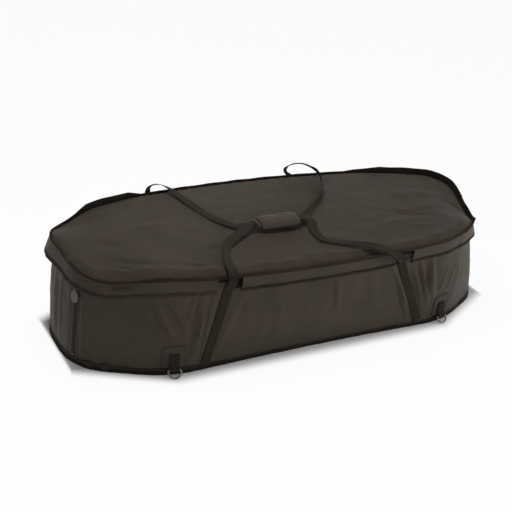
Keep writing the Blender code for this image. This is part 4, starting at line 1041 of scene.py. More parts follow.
tape_wave = wave(0.055, 41, around * STRIDE, 0 * around)
lumps = wave(0.065, 42, around * STRIDE, 0 * around)
stand = 0.0110 + 0.0006 * tape_wave
stand = stand + 0.0090 * stretch_of(around, 29.2, 33.6, 1.0)
stand = stand + 0.0095 * stretch_of(around, 3.0, 10.0, 3.0)
stand = stand + (0.0050 + 0.0020 * lumps) * stretch_of(around, 74.5, 3.0, 1.5)
stand = stand - 0.0060 * stretch_of(around, 36.2, 47.0, 1.5)
stand = stand - 0.0030 * stretch_of(around, 66.0, 75.5, 2.0)
fan = 0.0012 + 0.0008 * np.roll(tape_wave, 20)
fan = fan + 0.0040 * stretch_of(around, 75.5, 10.0, 3.0) * (1 + 0.3 * lumps)
fan = fan + 0.0030 * stretch_of(around, 30, 34, 1.5)
fan = fan + 0.0045 * stretch_of(around, 76.0, 1.4, 1.6)
fan = fan - 0.0020 * stretch_of(around, 37.5, 47.5, 1.5)
tape_low = 0.2572
profile = [(0.0, 0.0), (0.0003, 0.33), (0.0006, 0.66), (0.0, 1.0), (-0.0012, 1.06), (-0.0025, 1.0),
           (-0.0028, 0.66), (-0.0028, 0.33), (-0.0026, 0.0)]
tape_rings = []
for out, share in profile:
    height = tape_low + stand * share
    tape_rings.append(form(around, height, 0.0008 + out + fan * share ** 1.5))
seam_tape = tube_of("lid_seam_tape", np.stack(tape_rings, 1), SEAM_TAPE, closed=True)
# From the left end along the front the tape takes the lighter copy, painted light; round the back and the
# right the dark tape also stands for painted shade.
seam_tape.data.materials.append(PAINTED_LIT_SEAM_TAPE)
wear_and_lit_front = (around > 38.0) & (around < 74.6)
seam_tape.data.polygons.foreach_set("material_index", np.repeat(wear_and_lit_front, len(profile)).astype(np.int32))
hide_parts("lid_binding")
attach(seam_tape, "lid")
print("tape stands", round(float(stand.min()), 4), "to", round(float(stand.max()), 4))

# %% [markdown]
# ## Skirts
# Four strips of the shell cloth hang from the seam and close over the rim of the tub. A gap
# is left for each strap. A hanging strip is cut straight, so where it goes round an end its
# hem stands away, and it ripples. Each hem has a folded tape.

# %% Skirts
HEM = 0.2185
SKIRT_TOP = 0.2580
HEM_TAPE_HEIGHT = 0.0105
NOTCH = 0.062
RIGHT_SKIRT_SHIFT = 0.22


def notch_ends(x, front):
    """Both sides of the gap that is left in the skirts for a strap at x."""
    middle = place_at_x(x, front, HEM)
    stride = float(np.linalg.norm(form(middle + 0.5, HEM) - form(middle - 0.5, HEM)))
    return middle - NOTCH / 2 / stride, middle + NOTCH / 2 / stride


notches = {name: notch_ends(top_x, front) for name, (front, foot_x, top_x) in STRAP_LINES.items()}
front_left, front_right = notches["front_left"], notches["front_right"]
back_left, back_right = notches["back_left"], notches["back_right"]
SKIRTS = {
    "front": (front_left[1], front_right[0]),
    "right": (front_right[1] - RIGHT_SKIRT_SHIFT, back_right[0] + ROUND),
    "back": (back_right[1], back_left[0]),
    "left": (back_left[1], front_left[0]),
}


def skirt_out(place, height):
    """How far the skirt hangs away from the outer form."""
    drop = (SKIRT_TOP - height) / (SKIRT_TOP - HEM)
    spot = form(place, height)
    round_end = np.clip((np.abs(spot[..., 0]) - SIDE_HALF) / (HALF_LENGTH - SIDE_HALF), 0, 1)
    line = place * STRIDE
    ripples = 0.0014 * wave(0.075, 51, line, height) + 0.0008 * wave(0.03, 52, line, height)
    corner = 0.0060 * bell(place, 38.6, 1.2) - 0.0030 * bell(place, 40.6, 1.0)
    tuck = -0.0085 * bell(place, 45.4, 0.8) * np.exp(-((height - 0.2490) / 0.0060) ** 2)
    ridge = 0.0034 * bell(place, 44.45, 0.20) * np.sin(np.pi * np.clip(drop, 0, 1))
    slack = (0.0085 * round_end + ripples + corner) * drop
    return 0.0004 + slack + tuck + ridge + 0.0016 * np.sin(np.pi * np.clip(drop, 0, 1))


def on_skirt(place, height, out=0.0):
    """A point on the skirt's cloth, or out metres off it."""
    return form(place, height, skirt_out(place, height) + out)


for name, (start, end) in SKIRTS.items():
    places = np.linspace(start, end, int((end - start) * 8) + 1)
    drops = np.linspace(HEM + HEM_TAPE_HEIGHT * 0.6, SKIRT_TOP, 14)
    cloth_points = on_skirt(places[:, None], drops[None, :])
    skirt = sheet_of("skirt_" + name, cloth_points, 0.0010, SKIRT_CLOTH)
    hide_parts("apron_" + name)
    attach(skirt, "lid")
    tape_drops = np.linspace(HEM, HEM + HEM_TAPE_HEIGHT, 5)
    swell = np.array([0.0004, 0.0010, 0.0012, 0.0011, 0.0007])
    tape_face = on_skirt(places[:, None], tape_drops[None, :], swell[None, :])
    tape = SOFT_TAPE if name == "left" else HEM_TAPE
    hem = sheet_of("hem_tape_" + name, tape_face, 0.0030, tape)
    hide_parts("hem_binding_" + name)
    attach(hem, "lid")
    width = length_of(cloth_points[0])

# %% [markdown]
# ## Closure strips and hinge strip
# The front skirt closes on the wall with a pair of pile strips, hooks on the skirt and loops
# on the wall. Along the back, a strip joins the skirt's hem to the wall, and the lid turns
# there. All three are narrow sheets that ask the wall or the skirt where its cloth is.

# %% Closure strips and hinge strip
PILE_AWAY = 0.0014
front_places = np.linspace(SKIRTS["front"][0] + 0.3, SKIRTS["front"][1] - 0.3, 120)
hook_rise = np.linspace(0.2300, 0.2478, 5)
hook_points = on_skirt(front_places[:, None], hook_rise[None, :], -PILE_AWAY)
hook_band = sheet_of("hook_band", hook_points, 0.0010, HOOK_PILE)
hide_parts("hook_strip")
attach(hook_band, "lid")
loop_rise = np.linspace(0.2250, 0.2430, 5)
# The wall's strip runs on past both ends of the front skirt into the strap gaps, where its dark pile also
# stands for painted shade in the gaps.
loop_places = np.linspace(SKIRTS["front"][0] - 0.35, SKIRTS["front"][1] + 0.40, 140)
loop_points = on_wall(loop_places[:, None], loop_rise[None, :], PILE_AWAY)
loop_band = sheet_of("loop_band", loop_points, 0.0010, HOOK_PILE)
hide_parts("loop_strip")
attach(loop_band, "tub")

back_places = np.linspace(SKIRTS["back"][0], SKIRTS["back"][1], 160)
hinge_line = [(0.1975, 0.0012), (0.2060, 0.0012), (0.2140, 0.0014), (0.2165, 0.0030), (0.2172, 0.0085)]
hinge_rows = [on_wall(back_places, height, out) for height, out in hinge_line]
hinge_band = sheet_of("hinge_band", np.stack(hinge_rows, 1), 0.0010, HEM_TAPE)
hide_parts("lid_hinge_strip")
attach(hinge_band, "tub")
print("pieces so far", len(MADE))

# %% [markdown]
# ## Webbing
# The carry loops are flat webbing. It is sewn up the wall, comes free under the lid's hem and
# then bends and turns over by itself on the way to the wrap. A curve through a few stops gives
# the route, and at each stop a second direction says which way the webbing's width lies.
# A rounded section swept along it keeps the folded edges soft.

# %% Webbing
WEB_WIDTH, WEB = 0.025, 0.0017
LID_TOP = 0.2733
FREE_HEIGHT = 0.2140
WRAP = np.array([-0.0705, -0.0470, LID_TOP + 0.0150])
WRAP_LENGTH, WRAP_WIDE, WRAP_TALL = 0.122, 0.0205, 0.0140
STACK = WEB / 2 + 0.0004


def curve_through(points, steps=16):
    """A smooth curve that passes through every stop."""
    points = np.asarray(points, float)
    chain = np.vstack([2 * points[0] - points[1], points, 2 * points[-1] - points[-2]])
    fine = []
    for a, b, c, d in zip(chain, chain[1:], chain[2:], chain[3:]):
        t = np.linspace(0, 1, steps, endpoint=False)[:, None]
        fine.append(0.5 * (2 * b + (c - a) * t + (2 * a - 5 * b + 4 * c - d) * t ** 2
                           + (3 * b - a - 3 * c + d) * t ** 3))
    return np.vstack(fine + [points[-1:]])


def unit(vectors):
    return vectors / np.linalg.norm(vectors, axis=-1)[..., None]


HALF_SECTION = [(-0.97, 0.8), (-0.85, 1.0), (-0.4, 1.0), (0.0, 1.0), (0.4, 1.0), (0.85, 1.0), (0.97, 0.8)]
SECTION = [(-1.0, 0.0), *HALF_SECTION, (1.0, 0.0), *[(-across, -high) for across, high in HALF_SECTION]]


def sweep(spine, across, normal, width=WEB_WIDTH, thick=WEB):
    """Rings of flat webbing, one at each point of its spine."""
    rings = []
    for side, up_share in SECTION:
        rings.append(spine + across * (side * width / 2) + normal * (up_share * thick / 2))
    return np.stack(rings, 1)


def web_piece(name, spine, across, normal):
    return tube_of(name, sweep(spine, across, normal), STRAP_WEB, sharp=60)


def sewn_run(foot_x, top_x, front):
    """Spine, width direction and normal of webbing sewn up the wall."""
    share = np.linspace(0, 1, 60)
    heights = 0.0200 + (FREE_HEIGHT - 0.0004 - 0.0200) * share
    xs = foot_x + (top_x - foot_x) * share
    places = np.array([place_at_x(x, front, height) for x, height in zip(xs, heights)])
    spine = on_wall(places, heights, 0.0009 + WEB / 2)
    run = unit(on_wall(places + 0.2, heights) - on_wall(places - 0.2, heights))
    way = unit(np.gradient(spine, axis=0))
    normal = unit(np.cross(run, way))
    return spine, unit(np.cross(way, normal)), normal


RUNS = {}
for name, (front, foot_x, top_x) in STRAP_LINES.items():
    spine, across, normal = sewn_run(foot_x, top_x, front)
    RUNS[name] = (spine, across, normal)
    run = web_piece("sewn_strap_" + name, spine, across, normal)
    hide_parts("strap_run_" + name)
    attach(run, "tub")
print("sewn straps", len(RUNS))

# %% [markdown]
# ## Carry loops
# These are the four free ends. The stops are given as shares of the way from the top of the
# sewn strap to the end of the wrap, and as a lift over the lid in webbing widths. Each loop's
# lowest point and a point a little above it are kept, but the loop itself stays fixed where it
# is made and belongs to no body. Near the end of the swing three of the four free ends still
# pass into the walls.

# %% Carry loops
UPPER = (WRAP[2] - LID_TOP + STACK) / WEB_WIDTH
LOWER = (WRAP[2] - LID_TOP - STACK) / WEB_WIDTH
LOOPS = {
    "front_left": [(-0.003, 0.026, -0.80, (1, 0, 0)), (0.006, 0.062, 0.10, (1, 0, 0)),
                   (0.030, 0.200, 0.32, (1, 0, -0.1)), (0.100, 0.389, 0.36, (0.85, -0.2, -0.5)),
                   (0.275, 0.650, 0.36, (0.70, -0.5, -0.5)), (0.584, 0.830, 0.46, (0.4, -0.9, -0.2)),
                   (0.924, 1.0, UPPER, (0, -1, 0))],
    "front_right": [(0.085, -0.041, -1.36, (0.9, 0.1, 0.4)), (0.227, -0.062, -0.32, (0.7, 0.5, 0.4)),
                    (0.387, -0.005, 0.44, (0.5, 0.8, 0.2)), (0.534, 0.138, 0.48, (0.5, 0.8, 0.1)),
                    (0.717, 0.318, 0.24, (0.5, 0.8, 0)), (0.900, 0.492, 0.16, (0.9, 0.4, 0)),
                    (0.913, 0.713, 0.24, (1, 0, 0)), (0.878, 0.877, 0.68, (1, -0.1, 0)),
                    (0.902, 0.964, 0.76, (0.8, 0.6, 0)), (0.964, 1.0, UPPER + 0.04, (0, 1, 0))],
    "back_left": [(-0.025, -0.010, -1.00, (-0.9, -0.3, 0.2)), (-0.019, -0.017, -0.04, (-0.65, -0.65, 0.4)),
                  (0.095, 0.021, 0.44, (-0.50, -0.74, 0.45)), (0.222, 0.104, 0.44, (-0.65, -0.60, 0.35)),
                  (0.298, 0.215, 0.22, (-0.95, -0.3, 0.1)), (0.381, 0.446, 0.16, (-1, -0.2, 0)),
                  (0.495, 0.716, 0.16, (-1, -0.4, 0)), (0.686, 0.924, 0.32, (-0.8, -0.7, 0)),
                  (0.924, 1.0, LOWER, (-0.1, -1, 0))],
    "back_right": [(0.111, -0.024, -1.36, (-0.85, 0.4, -0.3)), (0.263, -0.048, -0.72, (-0.35, 0.85, -0.35)),
                   (0.352, -0.042, 0.12, (0.20, 0.85, -0.45)), (0.312, -0.010, 0.96, (0.48, 0.74, -0.47)),
                   (0.183, 0.031, 1.16, (0.48, 0.74, -0.47)), (0.062, 0.100, 0.80, (0.48, 0.60, -0.60)),
                   (0.067, 0.232, 0.60, (0.39, 0.05, -0.90)), (0.192, 0.422, 0.54, (0.15, 0.0, -0.95)),
                   (0.414, 0.657, 0.48, (0.1, 0.1, -0.95)), (0.682, 0.844, 0.34, (0.4, -0.4, -0.8)),
                   (0.911, 0.979, LOWER - 0.12, (0.3, -0.9, -0.2))],
}
EDGE_Y = 0.242
BEND_RISE = 0.045
LOOP_STEP = 0.003
LOOP_PATHS, BEND_ENDS = {}, {}


def loop_frame(name):
    """Spine, width direction and normal of one free half loop."""
    front, _, top_x = STRAP_LINES[name]
    left = name.endswith("left")
    end_x = WRAP[0] + (-1 if left else 1) * (WRAP_LENGTH / 2 + 0.0006)
    start_y = -EDGE_Y if front else EDGE_Y
    sewn_spine, sewn_across, sewn_normal = RUNS[name]
    begin = sewn_spine[-1] + unit(sewn_spine[-1] - sewn_spine[-6]) * 0.0006
    risen = begin + unit(sewn_spine[-1] - sewn_spine[-6]) * 0.018 + sewn_normal[-1] * 0.003
    stops, ways = [begin, risen], [sewn_across[-1], sewn_across[-1]]
    for along, inward, lift, way in LOOPS[name]:
        stops.append((top_x + (end_x - top_x) * along, start_y + (WRAP[1] - start_y) * inward,
                      LID_TOP + lift * WEB_WIDTH))
        ways.append(way)
    stops.append((end_x, WRAP[1], WRAP[2] + (STACK if front else -STACK)))
    ways.append(ways[-1])
    ways = np.array(ways, float)
    if np.dot(ways[2], ways[1]) < 0:
        ways[:2] *= -1
    spine = curve_through(stops)
    across = curve_through(unit(ways))
    reach = lengths_along(spine)
    want = np.linspace(0, reach[-1], int(reach[-1] / LOOP_STEP))
    spine, across = read_at(want, reach, spine), read_at(want, reach, across)
    way = unit(np.gradient(spine, axis=0))
    normal = unit(np.cross(way, across))
    return spine, unit(np.cross(normal, way)), normal


for name in LOOPS:
    spine, across, normal = loop_frame(name)
    LOOP_PATHS[name] = (spine, across, normal)
    side, hand = name.split("_")
    loop = web_piece("carry_loop_" + name, spine, across, normal)
    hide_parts(side + "_strap_" + hand)
    low = [float(value) for value in spine[0]]
    BEND_ENDS[name] = tuple(low), (low[0], low[1], low[2] + BEND_RISE)
    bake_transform(loop)
    print("loop", name, round(length_of(spine), 3), "m")

# %% [markdown]
# ## Wrap
# A short padded sleeve holds both loops together as a handle. Its flap closes over the top and
# is sewn along the back. The pad is an oval sleeve that is fuller in the middle, with its ends
# drawn in by their seams.

# %% Wrap
def oval(angle, grow=0.0):
    """Side view of the wrap: y and z at an angle in degrees, from the front over the top."""
    turned = np.radians(angle)
    return WRAP[1] - (WRAP_WIDE + grow) * np.cos(turned), WRAP[2] + (WRAP_TALL + grow) * np.sin(turned)


WRAP_SIDES, FLAP_SIDES, GRIP_STEPS = 64, 40, 24
angles = np.linspace(0, 360, WRAP_SIDES, endpoint=False)
sleeve = []


def gathered(share):
    """How much of the wrap's height is left near its drawn-in ends."""
    return 1 - 0.50 * math.exp(-(share / 0.10) ** 2) - 0.35 * math.exp(-((1 - share) / 0.08) ** 2)


for share in np.linspace(0, 1, 36):
    x = WRAP[0] + (share - 0.5) * WRAP_LENGTH
    pinch = -0.0016 * (abs(share - 0.5) * 2) ** 8 + 0.0004
    crumple = 0.0007 * wave(0.02, 61, np.full(WRAP_SIDES, x * 2), np.radians(angles) * 0.02)
    y, z = oval(angles, pinch + crumple - 0.0008)
    z = WRAP[2] + (z - WRAP[2]) * gathered(share)
    sleeve.append(np.stack([np.full(WRAP_SIDES, x), y, z], -1))
for share in (1.0, 0.7, 0.3, 0.0):
    x = WRAP[0] + (share - 0.5) * WRAP_LENGTH
    turned = np.radians(angles)
    y = WRAP[1] - 0.0131 * np.clip(1.6 * np.cos(turned), -1, 1)
    z = WRAP[2] + 0.0025 * np.clip(4 * np.sin(turned), -1, 1)
    sleeve.append(np.stack([np.full(WRAP_SIDES, x), y, z], -1))
wrap_pad = tube_of("wrap_pad", np.array(sleeve)[:, ::-1], PATCH_CLOTH, closed=True, sharp=70)
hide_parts("handle_wrap")
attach(wrap_pad, "front_strap")

flap_angles = np.linspace(-10, 150, FLAP_SIDES)
flap_rows = []
for share in np.linspace(0, 1, 30):
    x = WRAP[0] + (share - 0.5) * (WRAP_LENGTH - 0.016)
    lift = 0.0022 + 0.0006 * wave(0.03, 63, np.full(FLAP_SIDES, x), flap_angles * 0.0008)
    lift = lift + 0.0022 * np.exp(-((flap_angles + 10) / 16) ** 2)
    lift = lift - 0.0012 * np.exp(-((flap_angles - 124) / 8) ** 2)
    y, z = oval(flap_angles, lift)
    z = WRAP[2] + (z - WRAP[2]) * gathered((x - WRAP[0]) / WRAP_LENGTH + 0.5)
    flap_rows.append(np.stack([np.full(FLAP_SIDES, x), y, z], -1))
flap_points = np.array(flap_rows)
flap = sheet_of("wrap_flap", flap_points[::-1], 0.0018, PATCH_CLOTH)
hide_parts("handle_flap")
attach(flap, "handle_flap")

for side, lift in (("front", STACK), ("back", -STACK)):
    xs = np.linspace(WRAP[0] - WRAP_LENGTH / 2, WRAP[0] + WRAP_LENGTH / 2, GRIP_STEPS)
    level = np.full(GRIP_STEPS, WRAP[2] + lift)
    spine = np.stack([xs, np.full(GRIP_STEPS, WRAP[1]), level], -1)
    flat_ways = np.tile([0.0, -1.0, 0.0], (GRIP_STEPS, 1))
    up_ways = np.tile([0.0, 0.0, 1.0], (GRIP_STEPS, 1))
    grip = web_piece("grip_webbing_" + side, spine, flat_ways, up_ways)
    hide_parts(side + "_strap_handle")
    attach(grip, side + "_strap")
print("wrap made")

# %% [markdown]
# ## Pegging rings
# At the foot of the long walls, four stitched patches each carry a short webbing tab with a
# D-shaped ring for a ground peg. A patch has its upper corners cut off. The ring is bent wire,
# so it is a round section swept along its outline, set at its joint.

# %% Pegging rings
RING_WIRE, RING_HALF, RING_DEPTH, BAR_HEIGHT, BAR_OUT = 0.0024, 0.0160, 0.0205, 0.0180, 0.0085
RING_LEAN = math.acos((BAR_HEIGHT - RING_WIRE - 0.0004) / RING_DEPTH)
PATCH_HALF, PATCH_LOW, PATCH_HIGH = 0.031, 0.022, 0.078
PATCH_EDGES = {}


def ring_outline():
    """A D: a straight bar, two tight corners and a half round."""
    corner = 0.0034
    flat = RING_HALF - corner
    points = [(flat * share, 0.0) for share in np.linspace(-1, 1, 9)]
    for angle in range(80, -1, -10):
        turned = math.radians(angle)
        points.append((flat + corner * math.cos(turned), corner - corner * math.sin(turned)))
    for step in range(1, 30):
        turned = math.pi * step / 30
        points.append((RING_HALF * math.cos(turned), corner + (RING_DEPTH - corner) * math.sin(turned)))
    for angle in range(0, 81, 10):
        turned = math.radians(angle)
        points.append((-flat - corner * math.cos(turned), corner - corner * math.sin(turned)))
    return np.array(points)


def wire(points, radius, sides=12, closed=True):
    """Rings of round wire along a flat outline."""
    steps = np.roll(points, -1, 0) - np.roll(points, 1, 0) if closed else np.gradient(points, axis=0)
    ahead_way = unit(steps)
    plane = unit(np.cross(points[len(points) // 3] - points[0], points[2 * len(points) // 3] - points[0]))
    side = unit(np.cross(ahead_way, plane))
    rings = []
    for step in range(sides):
        turned = 2 * math.pi * step / sides
        rings.append(points + side * radius * math.cos(turned) + plane * radius * math.sin(turned))
    return np.stack(rings, 1)


for name, middle in ring_places.items():
    joint = joints["d_ring_" + name + "_hinge"]
    centre = np.array(joint["pos_m"])
    run = -unit(np.array(joint["axis"], float))
    face = np.array([run[1], -run[0], 0.0])
    down = face * math.sin(RING_LEAN) + np.array([0, 0, -1]) * math.cos(RING_LEAN)
    outline = ring_outline()
    points = centre + run * outline[:, :1] + down * outline[:, 1:]
    ring = tube_of("peg_ring_" + name, wire(points, RING_WIRE), GUNMETAL, closed=True)
    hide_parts("d_ring_" + name)
    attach(ring, "d_ring_" + name)

    reach = PATCH_HALF / STRIDE
    across_steps = np.linspace(-1, 1, 33)
    top_cut = np.clip((np.abs(across_steps) - 0.74) / 0.26, 0, 1) * 0.010
    tall = PATCH_HIGH - top_cut
    share = np.linspace(0, 1, 25)
    heights = PATCH_LOW + (tall[:, None] - PATCH_LOW) * share[None, :]
    places = (middle + across_steps * reach)[:, None] + 0 * heights
    patch_points = on_wall(places, heights, 0.0021)
    patch = sheet_of("ring_patch_cloth_" + name, patch_points, 0.0012, PATCH_CLOTH)
    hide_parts("ring_patch_" + name)
    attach(patch, "tub")
    PATCH_EDGES[name] = (middle, reach)

    base_spot = centre - face * BAR_OUT
    seat = 0.0021 + 0.0009 + WEB / 2
    turn_radius = RING_WIRE + 0.0005 + WEB / 2
    path = [(seat, 0.058), (seat, 0.045), (seat, BAR_HEIGHT + 0.012)]
    for angle in range(200, 421, 10):
        turned = math.radians(angle)
        path.append((BAR_OUT + turn_radius * math.cos(turned), BAR_HEIGHT + turn_radius * math.sin(turned)))
    second = seat + WEB + 0.0003
    path += [(second, BAR_HEIGHT + 0.014), (second, 0.044), (second, 0.054)]
    path = np.array(path)
    sewn = path[:, 1] > BAR_HEIGHT + 0.006
    follow = form(middle, path[:, 1], -lean(path[:, 1])) - form(middle, BAR_HEIGHT, -lean(BAR_HEIGHT))
    spine = base_spot + face * path[:, :1] + follow * [1, 1, 0] * sewn[:, None]
    spine[:, 2] = path[:, 1]
    way = unit(np.gradient(spine, axis=0))
    across = np.tile(run, (len(spine), 1))
    tab_rings = sweep(spine, across, unit(np.cross(way, across)))
    tab = tube_of("ring_tab_web_" + name, tab_rings, STRAP_WEB)
    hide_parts("ring_tab_" + name)
    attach(tab, "tub")
print("rings", len(ring_places))

# %% [markdown]
# ## Corner zip
# A nylon coil zip runs up the wall near the left end. Two folded lips of the wall's cloth stand
# beside the coil, which is why it reads as two dark lines from a distance. The coil is made
# turn by turn as small slanting loops.

# %% Corner zip
ZIP_LOW, ZIP_HIGH = 0.0190, 0.2220
zip_joint = joints["zip_slide"]
zip_up = -unit(np.array(zip_joint["axis"], float))
pull_joint = joints["zip_pull_hinge"]
zip_run = -unit(np.array(pull_joint["axis"], float))
zip_face = unit(np.cross(zip_run, zip_up))
pull_spot = np.array(pull_joint["pos_m"])
EYE_OUT = 0.0083
COIL_LOW, COIL_HIGH, COIL_PITCH = 0.0270, 0.2150, 0.0022
COIL_WIRE, COIL_SIDES = 0.00055, 6


def zip_point(along, across, out):
    """Points in the zip's own frame: metres up from the pull's hinge, sideways and outward."""
    along, across, out = np.broadcast_arrays(along, across, out)
    return (pull_spot + zip_up * along[..., None] + zip_run * across[..., None]
            + zip_face * (out - EYE_OUT)[..., None])


zip_rise = np.linspace(ZIP_LOW, ZIP_HIGH, 60) - pull_spot[2]
tape_across = np.linspace(-0.011, 0.011, 9)
zip_cloth_points = zip_point(zip_rise[None, :], tape_across[:, None], 0.0009)
zip_cloth = sheet_of("zip_cloth", zip_cloth_points, 0.0008, SEAM_TAPE)
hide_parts("zip_tape")
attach(zip_cloth, "tub")

coil_parts, coil_faces = [], []
turns = int((COIL_HIGH - COIL_LOW) / COIL_PITCH)
for index in range(turns):
    along = COIL_LOW - pull_spot[2] + index * COIL_PITCH
    for hand in (-1, 1):
        shift = COIL_PITCH / 2 if hand > 0 else 0.0
        path = np.array([(0.0, 2.9, 0.0), (0.0, 2.6, 0.9), (0.0003, 1.2, 1.3), (0.0006, -0.2, 1.1),
                         (0.0006, -0.5, 0.4)])
        points = zip_point(along + shift + path[:, 0], hand * path[:, 1] * 0.001, 0.0014 + path[:, 2] * 0.001)
        ring_points = wire(points, COIL_WIRE, COIL_SIDES, closed=False)
        count = len(path) * COIL_SIDES
        numbers = np.arange(count).reshape(len(path), COIL_SIDES) + len(coil_parts) * count
        coil_parts.append(ring_points.reshape(-1, 3))
        coil_faces += [list(quad) for quad in ring_quads(numbers)]
        coil_faces.append(list(numbers[0][::-1]))
        coil_faces.append(list(numbers[-1]))
coil = make("zip_coil", np.vstack(coil_parts), coil_faces, COIL_NYLON)
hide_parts("zip_chain")
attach(coil, "tub")

LIP_SECTION = ((0.0006, 0.0135), (0.0018, 0.0120), (0.0027, 0.0090), (0.0028, 0.0064), (0.0020, 0.0050))
for hand, hand_name in ((-1, "left"), (1, "right")):
    lip = []
    for out, across in LIP_SECTION:
        lip.append(zip_point(zip_rise, hand * across, out + 0.0003 * wave(0.05, 71, zip_rise, 0 * zip_rise)))
    points = np.stack(lip, 0)
    if hand < 0:
        points = points[::-1]
    lip_piece = sheet_of("zip_lip_" + hand_name, points[::-1], 0.0007, SKIRT_CLOTH)
    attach(lip_piece, "tub")
for name in ("zip_stop_bottom", "zip_stop_top", "zip_slider"):
    node = frame["nodes"][name]
    node.data.materials.clear()
    node.data.materials.append(GUNMETAL)
print("coil turns", turns)

# %% [markdown]
# ## Zip pull
# The pull is a soft oval tag with ribs for wet fingers. Its outline and its ribs both change
# along its length, so it is a tube of rings: each ring's width follows the oval, and its
# thickness dips and rises with the ribs. A small eye joins it to the slider.

# %% Zip pull
PULL_LONG, PULL_WIDE, PULL_THICK, PULL_DROP = 0.032, 0.0215, 0.0036, 0.0045
PULL_SECTION = ((-1, -0.5), (-0.9, -0.9), (-0.62, -1), (0.62, -1), (0.9, -0.9), (1, -0.5), (1, 0.5),
                (0.9, 0.9), (0.74, 1), (0.62, 1), (-0.62, 1), (-0.74, 1), (-0.9, 0.9), (-1, 0.5))
pull_rings = []
for share in np.linspace(0, 1, 90):
    along = -PULL_DROP - PULL_LONG * share
    bulge_share = math.sqrt(max(0.0, 1 - (2 * share - 1) ** 2))
    half = max(0.0022, PULL_WIDE / 2 * bulge_share ** 0.8)
    ribbed = 0.12 < share < 0.88
    rib = 0.0005 * (0.5 + 0.5 * math.cos(share * 11 * 2 * math.pi)) if ribbed else 0.0
    thick = PULL_THICK / 2 * (0.55 + 0.45 * bulge_share)
    ring_points = []
    for side, rise_share in PULL_SECTION:
        dent = rib if abs(side) < 0.7 else 0.0
        ring_points.append(zip_point(along, half * side, EYE_OUT + rise_share * (thick - dent)))
    pull_rings.append(np.array(ring_points))
pull = tube_of("zip_tag", np.array(pull_rings), PULL_RUBBER, sharp=35)
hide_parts("zip_pull")
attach(pull, "zip_pull")
loop_turn = np.linspace(0, 2 * math.pi, 32, endpoint=False)
reach = (PULL_DROP + 0.0032) / 2
eye = zip_point(0.0010 - reach + reach * np.cos(loop_turn), 0.0026 * np.sin(loop_turn), EYE_OUT)
cord_eye = tube_of("zip_tag_eye", wire(eye, 0.0007, 8), PULL_RUBBER, closed=True)
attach(cord_eye, "zip_pull")
print("pull", PULL_LONG, "x", PULL_WIDE)

# %% [markdown]
# ## Thread
# Stitches are what make sewn webbing and tape look sewn. Each one is a short rounded bar that
# lies along its seam, a little sunk in. They are made together, one piece for each body,
# because thousands of single objects would be slow.

# %% Thread
def stitches(line, normal, pitch=0.0040, long=0.0028, thick=0.00035, side=None):
    """Rounded bars along a line of points. Returns their points and faces."""
    line = np.asarray(line)
    reach = lengths_along(line)
    count = max(1, int(reach[-1] / pitch))
    middles = (np.arange(count) + 0.5) * reach[-1] / count
    spot = read_at(middles, reach, line)
    way = unit(read_at(middles + 0.001, reach, line) - read_at(middles - 0.001, reach, line))
    up_way = unit(read_at(middles, reach, normal))
    over_way = unit(np.cross(way, up_way))
    shape = []
    for along, size in ((-0.5, 0.25), (-0.32, 0.9), (0.32, 0.9), (0.5, 0.25)):
        for angle in (45, 135, 225, 315):
            turned = math.radians(angle)
            wide, high = math.cos(turned) * thick * 1.5 * size, math.sin(turned) * thick * size
            shape.append((along * long, wide, high))
    shape = np.array(shape)
    points = (spot[:, None, :] + way[:, None, :] * shape[None, :, :1]
              + over_way[:, None, :] * shape[None, :, 1:2] + up_way[:, None, :] * shape[None, :, 2:])
    numbers = np.arange(16).reshape(4, 4)
    quads = np.vstack([ring_quads(numbers), numbers[0][::-1][None], numbers[-1][None]])
    faces = (quads[None] + (np.arange(count) * 16)[:, None, None]).reshape(-1, 4)
    return points.reshape(-1, 3), faces


class Bobbin:
    """Collects rows of stitches that belong to one piece."""

    def __init__(self):
        self.points, self.faces, self.count = [], [], 0

    def sew(self, line, normal, **sizes):
        points, faces = stitches(line, normal, **sizes)
        self.faces.append(faces + self.count)
        self.points.append(points)
        self.count += len(points)

    def piece(self, name, material):
        return make(name, np.vstack(self.points), np.vstack(self.faces), material)


def outward_at(place, height):
    """Level unit vectors that point out of the mat."""
    flat = look_up(RIM_NORMAL, place)
    return np.concatenate([flat, np.zeros((len(flat), 1))], -1)


tub_thread = Bobbin()
for name, (spine, across, normal) in RUNS.items():
    for side in (-1, 1):
        edge = spine + across * side * (WEB_WIDTH / 2 - 0.0022) + normal * (WEB / 2 + 0.0001)
        tub_thread.sew(edge, normal)
for name, (front, foot_x, top_x) in STRAP_LINES.items():
    heights = np.linspace(0.024, 0.212, 50)
    beside = 0.018 + 0.10 * (heights - 0.024)
    xs = foot_x + (top_x - foot_x) * (heights - 0.020) / (FREE_HEIGHT - 0.020) - beside
    places = np.array([place_at_x(x, front, height) for x, height in zip(xs, heights)])
    tub_thread.sew(on_wall(places, heights, 0.0003), outward_at(places, heights), pitch=0.005, thick=0.0005)
for name, (middle, reach) in PATCH_EDGES.items():
    inset = 0.88
    corners = [(-inset, PATCH_LOW + 0.003), (-inset, PATCH_HIGH - 0.0115), (-0.70, PATCH_HIGH - 0.004),
               (0.70, PATCH_HIGH - 0.004), (inset, PATCH_HIGH - 0.0115), (inset, PATCH_LOW + 0.003)]
    for start, end in zip(corners, corners[1:]):
        share = np.linspace(0, 1, 24)
        places = middle + (start[0] + (end[0] - start[0]) * share) * reach
        heights = start[1] + (end[1] - start[1]) * share
        tub_thread.sew(on_wall(places, heights, 0.0022), outward_at(places, heights), thick=0.00045)
strip_line = np.arange(0, ROUND + 0.1, 0.125)
strip_sewn = np.interp(strip_line, around, strip_top, period=ROUND) - 0.0022
tub_thread.sew(form(strip_line, strip_sewn, 0.0016), outward_at(strip_line, 0), pitch=0.005)
thread_tub = tub_thread.piece("thread_tub", THREAD)
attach(thread_tub, "tub")

